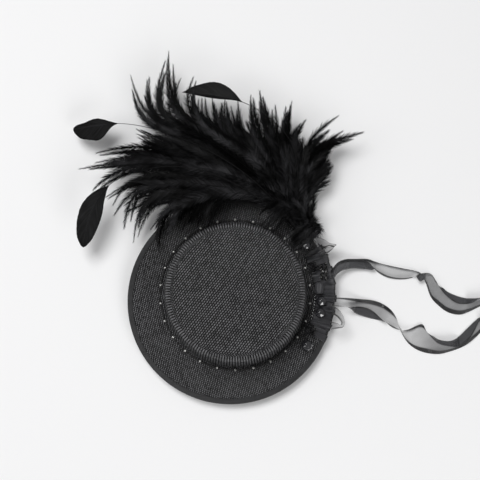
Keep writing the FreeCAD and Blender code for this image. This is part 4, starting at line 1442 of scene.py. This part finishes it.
def petal(centre, angle, long, wide, cup, tilt, rng):
    """One cupped petal that leaves a centre at an angle."""
    out = heading(angle)
    side = UP.cross(out)
    rows, columns = 8, 8
    curl = rng.uniform(0.6, 1.2)
    shift = rng.uniform(-0.12, 0.12)

    def place(row, column):
        share = row / rows
        across = column / columns * 2 - 1
        half = wide / 2 * math.sin(math.pi * (0.12 + 0.80 * share) ** 0.8) + 0.02 * wide
        lift = cup * (across ** 2 * 0.8 + share ** 2 * curl * 0.6)
        wave = 0.05 * long * math.sin(4 * across + 7 * shift) * share
        level = lift + wave + math.sin(tilt) * long * share
        return (centre + out * (long * share * math.cos(tilt) - 0.1 * long * across ** 2 * share)
                + side * (across * half + shift * long * share) + UP * level)

    return surface("petal", rows, columns, place, finish("satin"))


def flower(name, node, rings, seed):
    """Rings of petals that fill a flower's CAD node."""
    rng = random.Random(seed)
    low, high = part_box(node)
    centre = (low + high) / 2
    radius = reach_of(node)
    petals = []
    for count, share, level, tilt, phase in rings:
        for step in range(count):
            angle = 2 * math.pi * (step + phase) / count + rng.uniform(-0.12, 0.12)
            spot = Vector((centre.x, centre.y, low.z + (high.z - low.z) * level))
            petals.append(petal(spot, angle, radius * share * rng.uniform(0.92, 1.06),
                                radius * share * 0.95, radius * 0.28, tilt, rng))
    piece = joined(name, petals, finish("satin"))
    smooth(piece.data)
    return thicken(piece, 0.22 * MM)


def lace_ring(centre, radius, count, level, tilt):
    """Points of a ring of loops with the ways that each loop faces."""
    points, ups, outs = [], [], []
    for step in range(count):
        way = heading(2 * math.pi * step / count)
        points.append(centre + way * radius + UP * level)
        outs.append((way * math.cos(tilt) + UP * math.sin(tilt)).normalized())
        ups.append((UP * math.cos(tilt) - way * math.sin(tilt)).normalized())
    return points, ups, outs


def brilliant(name, node, rings, spin=0.0):
    """A cut stone in a CAD node's box: the flat facets of points on level rings."""
    low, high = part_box(node)
    centre = (low + high) / 2
    half_x, half_y = (high.x - low.x) / 2, (high.y - low.y) / 2
    work = bmesh.new()
    for share, radius, count, phase in rings:
        for step in range(count):
            way = heading(2 * math.pi * (step + phase) / count + spin)
            spot = Vector((centre.x + way.x * half_x * radius, centre.y + way.y * half_y * radius,
                           low.z + (high.z - low.z) * share))
            work.verts.new(spot)
    hull = bmesh.ops.convex_hull(work, input=work.verts)
    spare = [item for item in hull["geom_interior"] + hull["geom_unused"]
             if isinstance(item, bmesh.types.BMVert)]
    bmesh.ops.delete(work, geom=spare, context="VERTS")
    bmesh.ops.dissolve_limit(work, angle_limit=0.02, verts=work.verts, edges=work.edges)
    bmesh.ops.recalc_face_normals(work, faces=work.faces)
    bmesh.ops.bevel(work, geom=work.edges, offset=0.05 * MM, segments=1, affect="EDGES")
    mesh = bpy.data.meshes.new(name)
    work.to_mesh(mesh)
    work.free()
    mesh.materials.append(finish("stone"))
    return link(name, mesh)


SEWN_STONE = ((0.0, 0.6, 8, 0), (0.34, 1.0, 16, 0), (0.44, 1.0, 16, 0), (0.82, 0.80, 8, 0.5),
              (1.0, 0.32, 8, 0))
ROUND_STONE = ((0.0, 0.35, 10, 0), (0.14, 0.74, 10, 0.5), (0.36, 0.98, 10, 0),
               (0.60, 0.98, 10, 0.5), (0.84, 0.74, 10, 0), (1.0, 0.34, 10, 0.5))


class FASCINATOR_OT_flowers(bpy.types.Operator):
    """Make the lace flower and the two rosettes"""

    bl_idname = "fascinator.flowers"
    bl_label = "Flowers"

    def execute(self, context):
        seed = sizes().seed
        lace = flower("lace_flower_petals", "lace_flower",
                      ((7, 1.0, 0.1, 0.12, 0.0), (6, 0.72, 0.45, 0.5, 0.4)), seed)
        settle(lace, "lace", "lace_flower")
        centre = middle_of("lace_flower")
        rings = [lace_ring(centre, reach_of("lace_flower") * share, count, level, tilt)
                 for share, count, level, tilt in ((0.98, 15, 0.6 * MM, 0.15),
                                                   (0.70, 11, 1.5 * MM, 0.5),
                                                   (0.45, 8, 2.0 * MM, 0.8))]
        base = lines_mesh("lace_loops", [ring[0] for ring in rings],
                          way_up=[ring[1] for ring in rings], way_out=[ring[2] for ring in rings])
        loops = grow("lace_loops", base, tree_of("loop"), finish("thread"),
                     Loop_Radius=1.5 * MM, Thread_Radius=0.2 * MM)
        settle(loops, "lace")
        for name, seed_shift in (("rosette_upper", 1), ("rosette_lower", 2)):
            piece = flower(f"{name}_petals", name,
                           ((5, 1.05, 0.0, 0.18, 0.0), (5, 0.85, 0.3, 0.45, 0.5),
                            (4, 0.55, 0.5, 0.9, 0.2)), seed + seed_shift)
            settle(piece, "satin_petal", name)
        return {"FINISHED"}


class FASCINATOR_OT_stones(bpy.types.Operator):
    """Cut the four stones"""

    bl_idname = "fascinator.stones"
    bl_label = "Stones"

    def execute(self, context):
        for node, rings, spin in (("jewel_flower", SEWN_STONE, 0.2),
                                  ("jewel_upper", SEWN_STONE, 0.1),
                                  ("jewel_lower", SEWN_STONE, 0.5),
                                  ("jewel_bead", ROUND_STONE, 0.3)):
            settle(brilliant(f"{node}_cut", node, rings, spin), "black_stone", node)
        return {"FINISHED"}


def ball(name, place, radius, segments, rings, press=1.0):
    """A round bead, pressed flatter by a share."""
    work = bmesh.new()
    bmesh.ops.create_uvsphere(work, u_segments=segments, v_segments=rings, radius=radius)
    bmesh.ops.scale(work, vec=(1, 1, press), verts=work.verts)
    bmesh.ops.translate(work, verts=work.verts, vec=place)
    mesh = bpy.data.meshes.new(name)
    work.to_mesh(mesh)
    work.free()
    smooth(mesh)
    return link(name, mesh)


def cupped_sequin(centre, radius, rng):
    """A six-sided sequin dished round its hole, with a small bead over the hole."""
    tilt = Matrix.Rotation(rng.uniform(-0.5, 0.5), 3, "X") @ Matrix.Rotation(
        rng.uniform(-0.5, 0.5), 3, "Y")
    spin = rng.uniform(0, math.pi)
    rings = ((0.18, 0.0), (0.5, 0.05), (1.0, 0.34))

    def place(row, column):
        share, rise = rings[row]
        way = heading(2 * math.pi * column / 6 + spin)
        return centre + tilt @ (way * radius * share + UP * radius * rise)

    dish = surface("sequin", 2, 6, place, finish("sequin"), closed_columns=True)
    smooth(dish.data, False)
    dish = thicken(dish, 0.12 * MM)
    core = radius * 0.42
    return [dish, ball("seed_bead", centre + tilt @ (UP * core), core, 10, 7)]


class FASCINATOR_OT_strands(bpy.types.Operator):
    """Sew on the zigzag of sequins and the string of small beads"""

    bl_idname = "fascinator.strands"
    bl_label = "Sequins and bead string"

    def execute(self, context):
        rng = random.Random(sizes().seed)
        low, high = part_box("sequin_strand")
        parts = []
        steps = 11
        for step in range(steps):
            across = low.x + 1.4 * MM if step % 2 else high.x - 1.4 * MM
            along = high.y - 1.2 * MM - (high.y - low.y - 2.4 * MM) * step / (steps - 1)
            spot = Vector((across, along, low.z + rng.uniform(0, 0.5) * MM))
            parts.extend(cupped_sequin(spot, 1.35 * MM, rng))
        settle(joined("sequin_zigzag", parts, finish("sequin")), "sequin", "sequin_strand")

        low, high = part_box("bead_strand")
        radius = (high.z - low.z) / 2
        level = middle_of("bead_strand").z
        beads = []
        route = []
        count = 9
        for step in range(count):
            way = heading(math.radians(-1.6 - 2.0 * step))
            spot = way * 61.2 * MM + UP * level
            route.append(spot)
            beads.append(ball("bead", spot, radius, 14, 10, 0.9))
        thread = tube("bead_thread", route, 0.22 * MM, finish("thread"), sides=6)
        settle(joined("bead_string", beads, finish("stone")), "black_stone", "bead_strand")
        settle(thread, "thread_wrap")
        return {"FINISHED"}


# ---------------------------------------------------------------- ribbon

# Ribbons as stations along them, in millimetres: one edge, the crease or middle and the other
# edge as seen from above, then the height over the floor. Where the crease lies outside the
# two edges the ribbon is folded along it.
TAIL_UPPER = (
    (73.5, 17, 75.5, 11, 73.5, 18, 13.5), (79, 23.5, 79, 15.8, 79, 24.5, 11.5),
    (85.5, 26.5, 84.2, 19, 85.5, 27.5, 9), (94, 27.3, 91.5, 20.5, 94, 28.3, 4),
    (103, 26.5, 102, 20, 103, 28.5, 1.5),
    (107, 23.5, 106.5, 19.5, 109.5, 26.5, 1), (111, 18.5, 113, 21.5, 114.5, 25, 0.6),
    (119, 14, 121, 18.5, 123, 23, 0.6), (128.5, 12.5, 130.5, 16.5, 132.5, 21, 0.6),
    (137.5, 13.5, 139, 16.5, 140, 19.5, 0.6), (145, 17, 143.5, 10.5, 145.5, 17, 1.2),
    (152.5, 17, 151, 13.5, 149, 9.5, 0.8), (157, 11.5, 155, 5.5, 152.5, -1, 0.6),
    (160, 5.5, 161, 6.5, 158, -7.5, 0.6), (166, -1.5, 166.5, 2.5, 165.5, -13, 0.6),
    (173, -6, 175, -1, 174.5, -15, 0.6), (182, -6.5, 183, -2.5, 182.5, -12.5, 0.6),
    (190.5, -3, 190.5, -2, 191, -8.5, 0.6), (204, 5, 203, 1, 202, -4, 0.6),
    (216, 9, 215.5, 3.5, 215, -3, 0.6), (229, 9.5, 228.5, 3.5, 228, -4, 0.6),
    (240.5, 6, 240, 0.5, 239.5, -6, 0.6),
)
TAIL_LOWER = (
    (74.5, -9, 74.5, -6, 74.5, -2.5, 13.5), (86.5, -9.5, 86.5, -10, 86.5, -2.5, 8),
    (97.5, -9, 94, -14.5, 97.5, -3, 3), (106, -11.5, 103.5, -17.5, 107.5, -4, 1),
    (112.5, -17, 112, -19.5, 115.5, -7, 0.6), (116, -20, 116, -21, 121.5, -11.5, 0.6),
    (121.5, -24.5, 123.5, -21, 125.5, -17.5, 0.6), (128, -27, 128, -26.5, 127.5, -25.5, 2),
    (134.5, -26.5, 133.5, -31, 132.5, -35, 0.8), (145, -22.5, 142, -32, 139, -41, 0.6),
    (149, -28.5, 151, -30.5, 147.5, -44.5, 0.6), (157, -37, 157.5, -34.5, 157.5, -45.5, 0.6),
    (166.5, -39.5, 166, -35.5, 167, -43.5, 0.6), (174, -39.5, 173.5, -32, 175.5, -40.5, 0.6),
    (180.5, -36, 180, -26, 181.5, -37, 0.6), (186, -27.5, 186.5, -20, 187.5, -32, 0.6),
    (191, -19, 191.5, -17, 192, -28.5, 0.6), (201, -13, 201, -20, 201.5, -28, 0.6),
    (212, -13, 212.5, -20.5, 213, -28.5, 0.6), (225, -15.5, 225.5, -22.5, 226, -30, 0.6),
    (235.5, -20.5, 236, -27.5, 236.5, -35, 0.6),
)
LOOP_UPPER = (
    (60, 45.5, 62, 41.5, 64, 38, 14), (67.5, 43, 67.5, 39, 68, 35, 15),
    (73.5, 39, 73, 38, 72, 37, 15.5), (77, 38, 77.5, 37, 76, 36, 15.5),
    (74.5, 34, 73, 35, 71.5, 36.5, 16.5), (70, 30.5, 68.5, 32.5, 67.5, 34, 17),
    (65.5, 28.5, 64.5, 30, 63.5, 32, 17),
)
LOOP_LOWER = (
    (73, -7.5, 72.5, -11.5, 72, -15, 14), (79.5, -12, 77.5, -14, 75.5, -16, 14.5),
    (82.5, -16.5, 80.5, -17, 78.5, -18, 15), (84, -21.5, 82.5, -21.5, 81, -21.5, 15),
    (82.5, -25.5, 81.5, -24.5, 80.5, -23.5, 15.5), (78.5, -26.5, 78, -24, 77.5, -22, 15.5),
    (73, -27.5, 73, -24.5, 72.5, -21, 15.5),
)


def ribbon(name, node, table, spare, cloth="organza", floor_shade=0.0):
    """A ribbon through its stations; where it looks narrow it stands up between its edges."""
    steps = (len(table) - 1) * 10
    half_columns = 6
    columns = half_columns * 2
    full = sizes().ribbon_width
    edges = []
    for ax, ay, mx, my, bx, by, level in smooth_line(table, steps):
        one, middle, other = (Vector((x, y, 0)) * MM for x, y in ((ax, ay), (mx, my), (bx, by)))
        seen = ((one - middle).length + (other - middle).length) / 2
        stand = math.sqrt(max((full / 2) ** 2 - seen ** 2, 0))
        edges.append((one, middle, other, FLOOR_LEVEL + level * MM, min(stand, spare * MM)))
    travelled = [0.0]
    for before, after in zip(edges, edges[1:]):
        run = sum(((after[k] - before[k]).length for k in range(3)), 0.0) / 3
        travelled.append(travelled[-1] + run)

    def place(row, column):
        one, middle, other, level, stand = edges[row]
        share = column / half_columns - 1
        outer = one if share < 0 else other
        spot = middle.lerp(outer, abs(share) ** 1.15)
        rise = stand * (1 - share ** 2) + 0.5 * MM * max(-share, 0)
        flutter = 0.25 * MM * share * math.sin(travelled[row] * 210)
        return spot + UP * max(level + rise + flutter - FLOOR_LEVEL, 0.15 * MM) + UP * FLOOR_LEVEL

    piece = surface(name, steps, columns, place, finish(cloth),
                    lambda row, column: (column / columns * full, travelled[row]))
    # Cloth density: real doubling where the ribbon is folded, and painted floor shade along the
    # stretch of a tail that lies flat on the floor.
    denser = piece.data.attributes.new("doubling_and_floor_shade", "FLOAT", "POINT")
    for vertex in piece.data.vertices:
        one, middle, other, level, stand = edges[vertex.index // (columns + 1)]
        side = vertex.index % (columns + 1) / half_columns - 1
        over = (one - middle).length + (other - middle).length - (one - other).length
        doubled = min(over / (5 * MM), 1) * (1 if side < 0 else 0.25)
        # Painted shade from the floor under the sheer cloth, growing along the ribbon's later
        # stretch.
        painted_floor_shade = floor_shade * min(max(vertex.index / len(piece.data.vertices) * 8 - 3.4, 0), 1)
        denser.data[vertex.index].value = max(doubled, painted_floor_shade)
    settle(piece, "organza", node)
    return piece


class FASCINATOR_OT_tails(bpy.types.Operator):
    """Lay out the two loose ribbon tails"""

    bl_idname = "fascinator.tails"
    bl_label = "Ribbon tails"

    def execute(self, context):
        for side, table in (("upper", TAIL_UPPER), ("lower", TAIL_LOWER)):
            # Where each tail lies flat on the floor its cloth is made denser: painted shade from the
            # floor under it.
            ribbon(f"organza_tail_{side}", f"ribbon_tail_{side}", table, 5,
                   floor_shade=0.38)
        return {"FINISHED"}


def ruffle():
    """Gathered organza on the brim: tight pleats at the crown that open outwards."""
    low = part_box("organza_ruffle")[0]
    inner, outer = 61.0 * MM, 77.5 * MM
    spread = math.radians(29)
    rows, columns = 12, 180
    pleats = 17
    full = sizes().ribbon_width

    def place(row, column):
        share = row / rows
        turn = (column / columns * 2 - 1) * spread
        phase = pleats * math.pi * (column / columns) * 2
        swing = math.sin(phase + 1.1 * math.sin(phase * 0.37))
        sway = 0.018 * math.cos(phase) * share
        radius = inner + (outer - inner) * share + 0.7 * MM * math.sin(phase * 0.41) * share
        level = low.z + 0.9 * MM + (0.55 + 0.85 * share) * MM * swing + 0.7 * MM * share
        spot = heading(turn + sway) * radius + UP * level
        spot.z = max(spot.z, low.z + 0.05 * MM)
        return spot

    travelled = [0.0]
    for column in range(columns):
        run = place(rows // 2, column + 1) - place(rows // 2, column)
        travelled.append(travelled[-1] + run.length)
    piece = surface("gathered_ruffle", rows, columns, place, finish("dense organza"),
                    lambda row, column: (row / rows * full, travelled[column]))
    settle(piece, "organza", "organza_ruffle")
    return piece


def knot():
    """Ribbon wound round the middle of the bow: a soft bundle with folds along it."""
    low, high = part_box("bow_knot")
    centre = (low + high) / 2
    half = (high - low) / 2
    rows, columns = 20, 48

    def place(row, column):
        turn = 2 * math.pi * column / columns
        rise = math.pi * (row / rows - 0.5)
        folds = 1 + 0.07 * math.sin(7 * turn + 0.6 * math.sin(3 * rise)) * math.cos(rise)
        along = math.copysign(abs(math.sin(rise)) ** 0.75, rise)
        round_x = math.copysign(abs(math.cos(turn)) ** 0.8, math.cos(turn))
        round_z = math.copysign(abs(math.sin(turn)) ** 0.8, math.sin(turn))
        thin = abs(math.cos(rise)) ** 0.55 * folds
        return centre + Vector((half.x * round_x * thin * 0.97, half.y * along * 0.99,
                                half.z * round_z * thin * 0.97))

    piece = surface("ribbon_knot", rows, columns, place, finish("dense organza"),
                    lambda row, column: (4 * MM + column / columns * 8 * MM, row * 0.5 * MM),
                    closed_columns=True)
    return settle(tidy(piece), "organza", "bow_knot")


class FASCINATOR_OT_bow(bpy.types.Operator):
    """Make the pleated ruffle, the knot and the two loops of the bow"""

    bl_idname = "fascinator.bow"
    bl_label = "Bow"

    def execute(self, context):
        ruffle()
        knot()
        for side, table in (("upper", LOOP_UPPER), ("lower", LOOP_LOWER)):
            ribbon(f"organza_loop_{side}", f"bow_loop_{side}", table, 7.5,
                   "looped organza")
        return {"FINISHED"}


# ---------------------------------------------------------------- clips

def spring(label):
    """Torsion spring of one clip: a coil round the pin with a leg to each jaw."""
    low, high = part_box(f"{label}_pin")
    centre = (low + high) / 2
    node_low, node_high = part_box(f"{label}_spring")
    wire = 0.28 * MM
    coil = node_high.x - centre.x - wire
    turns = 4
    half = turns * wire
    top_leg = Vector((node_low.x + wire, centre.y + half, node_high.z - wire))
    bottom_leg = Vector((node_low.x + wire, centre.y - half, node_low.z + wire))
    steps = turns * 20 + 10
    points = [top_leg]
    for step in range(steps + 1):
        share = step / steps
        turn = math.pi / 2 - 2 * math.pi * (turns + 0.5) * share
        points.append(centre + Vector((coil * math.cos(turn), half - 2 * half * share,
                                       coil * math.sin(turn))))
    points.append(bottom_leg)
    piece = tube(f"{label}_coil", points, wire * 0.9, finish("wire"), sides=8)
    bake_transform(piece)
    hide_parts(f"{label}_spring")


class FASCINATOR_OT_clips(bpy.types.Operator):
    """Finish the two hair clips, wind their springs and tie them on"""

    bl_idname = "fascinator.clips"
    bl_label = "Hair clips"

    def execute(self, context):
        ties = []
        for label in ("clip_front", "clip_back"):
            for part in ("upper_jaw", "lower_jaw", "pin"):
                paint_node(f"{label}_{part}", finish("nickel"))
            spring(label)
            ties.extend(clip_ties(label))
        settle(joined("clip_ties", ties, finish("thread")), "thread_wrap", "clip_stitches")
        return {"FINISHED"}


def clip_ties(label):
    """Turns of thread over a clip's upper jaw at three places, up into the felt."""
    low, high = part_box(f"{label}_upper_jaw")
    pivot = middle_of(f"{label}_pin").x
    jaw = -0.8 * MM
    ties = []
    for along in (-12.1, 9.4, 22.4):
        for step in range(3):
            x = pivot + (along + (step - 1) * 0.42) * MM
            side = low.y - 0.25 * MM
            other = high.y + 0.25 * MM
            level = jaw - 0.22 * MM
            route = [Vector((x, side, 0.2 * MM)), Vector((x, side, level + 0.2 * MM)),
                     Vector((x, side + 0.3 * MM, level)), Vector((x, other - 0.3 * MM, level)),
                     Vector((x, other, level + 0.2 * MM)), Vector((x, other, 0.2 * MM))]
            ties.append(tube("tie", route, 0.2 * MM, finish("thread"), sides=8))
    return ties


# ---------------------------------------------------------------- stage

def area_light(name, place, target, width, power):
    """A soft square light."""
    light = bpy.data.lights.new(name, "AREA")
    light.shape = "SQUARE"
    light.size = width
    light.energy = power
    lamp = bpy.data.objects.new(name, light)
    lamp.location = place
    lamp.rotation_euler = (Vector(target) - Vector(place)).to_track_quat("-Z", "Y").to_euler()
    bpy.context.scene.collection.objects.link(lamp)


class FASCINATOR_OT_stage(bpy.types.Operator):
    """Set up the floor, the soft lights and the camera"""

    bl_idname = "fascinator.stage"
    bl_label = "Stage"

    def execute(self, context):
        wide = 1.2
        floor = surface("floor", 2, 2, lambda row, column: Vector(
            ((column - 1) * wide, (row - 1) * wide, FLOOR_LEVEL)), finish("paper"))
        tidy(floor, outwards=False)

        target = Vector((3.65, 42.4, 3.0)) * MM
        distance, view_width, sensor = 0.85, 0.373, 36
        rise = math.radians(83)
        lens = bpy.data.cameras.new("Camera")
        lens.sensor_width = sensor
        lens.lens = sensor * distance / view_width
        lens.clip_start = 0.01
        camera = bpy.data.objects.new("Camera", lens)
        camera.location = target + Vector((0, -math.cos(rise), math.sin(rise))) * distance
        camera.rotation_euler = (math.pi / 2 - rise, 0, 0)
        context.scene.collection.objects.link(camera)
        context.scene.camera = camera

        area_light("Window", (-0.5, 0.65, 1.9), target, 0.9, 29.0)
        area_light("Left fill", (-1.1, -0.1, 0.9), target, 0.8, 3.0)
        area_light("Front fill", (0.6, -1.0, 0.9), target, 0.8, 8.0)
        world = bpy.data.worlds.new("World")
        world.use_nodes = True
        tree = world.node_tree
        sky = tree.nodes["Background"]
        sky.inputs["Color"].default_value = (1, 1, 1, 1)
        seen = tree.nodes.new("ShaderNodeLightPath").outputs["Is Camera Ray"]
        tree.links.new(ramp(tree, seen, 0, 1, 0.18, 0.9), sky.inputs["Strength"])
        context.scene.world = world
        context.scene.view_settings.view_transform = "Standard"
        return {"FINISHED"}


class FASCINATOR_PT_panel(bpy.types.Panel):
    """Lists the pieces of the hat"""

    bl_idname = "FASCINATOR_PT_panel"
    bl_label = "Fascinator"
    bl_space_type = "VIEW_3D"
    bl_region_type = "UI"
    bl_category = "Fascinator"

    def draw(self, context):
        for group in (sizes(), colours()):
            box = self.layout.box()
            for key in group.__annotations__:
                box.prop(group, key)
        for operator in OPERATORS:
            self.layout.operator(operator.bl_idname)


OPERATORS = (
    FASCINATOR_OT_stage, FASCINATOR_OT_crown, FASCINATOR_OT_brim, FASCINATOR_OT_trim,
    FASCINATOR_OT_hackles, FASCINATOR_OT_leaf_feathers, FASCINATOR_OT_flowers,
    FASCINATOR_OT_stones, FASCINATOR_OT_strands, FASCINATOR_OT_bow, FASCINATOR_OT_tails,
    FASCINATOR_OT_clips,
)
CLASSES = (FascinatorSizes, FascinatorColours, *OPERATORS, FASCINATOR_PT_panel)


def register():
    for item in CLASSES:
        bpy.utils.register_class(item)
    bpy.types.Scene.fascinator_sizes = PointerProperty(type=FascinatorSizes)
    bpy.types.Scene.fascinator_colours = PointerProperty(type=FascinatorColours)


def unregister():
    del bpy.types.Scene.fascinator_colours
    del bpy.types.Scene.fascinator_sizes
    for item in reversed(CLASSES):
        bpy.utils.unregister_class(item)


def main():
    """Register, then make every piece in order."""
    register()
    for operator in OPERATORS:
        family, name = operator.bl_idname.split(".")
        getattr(getattr(bpy.ops, family), name)()


if __name__ == "__main__":
    main()
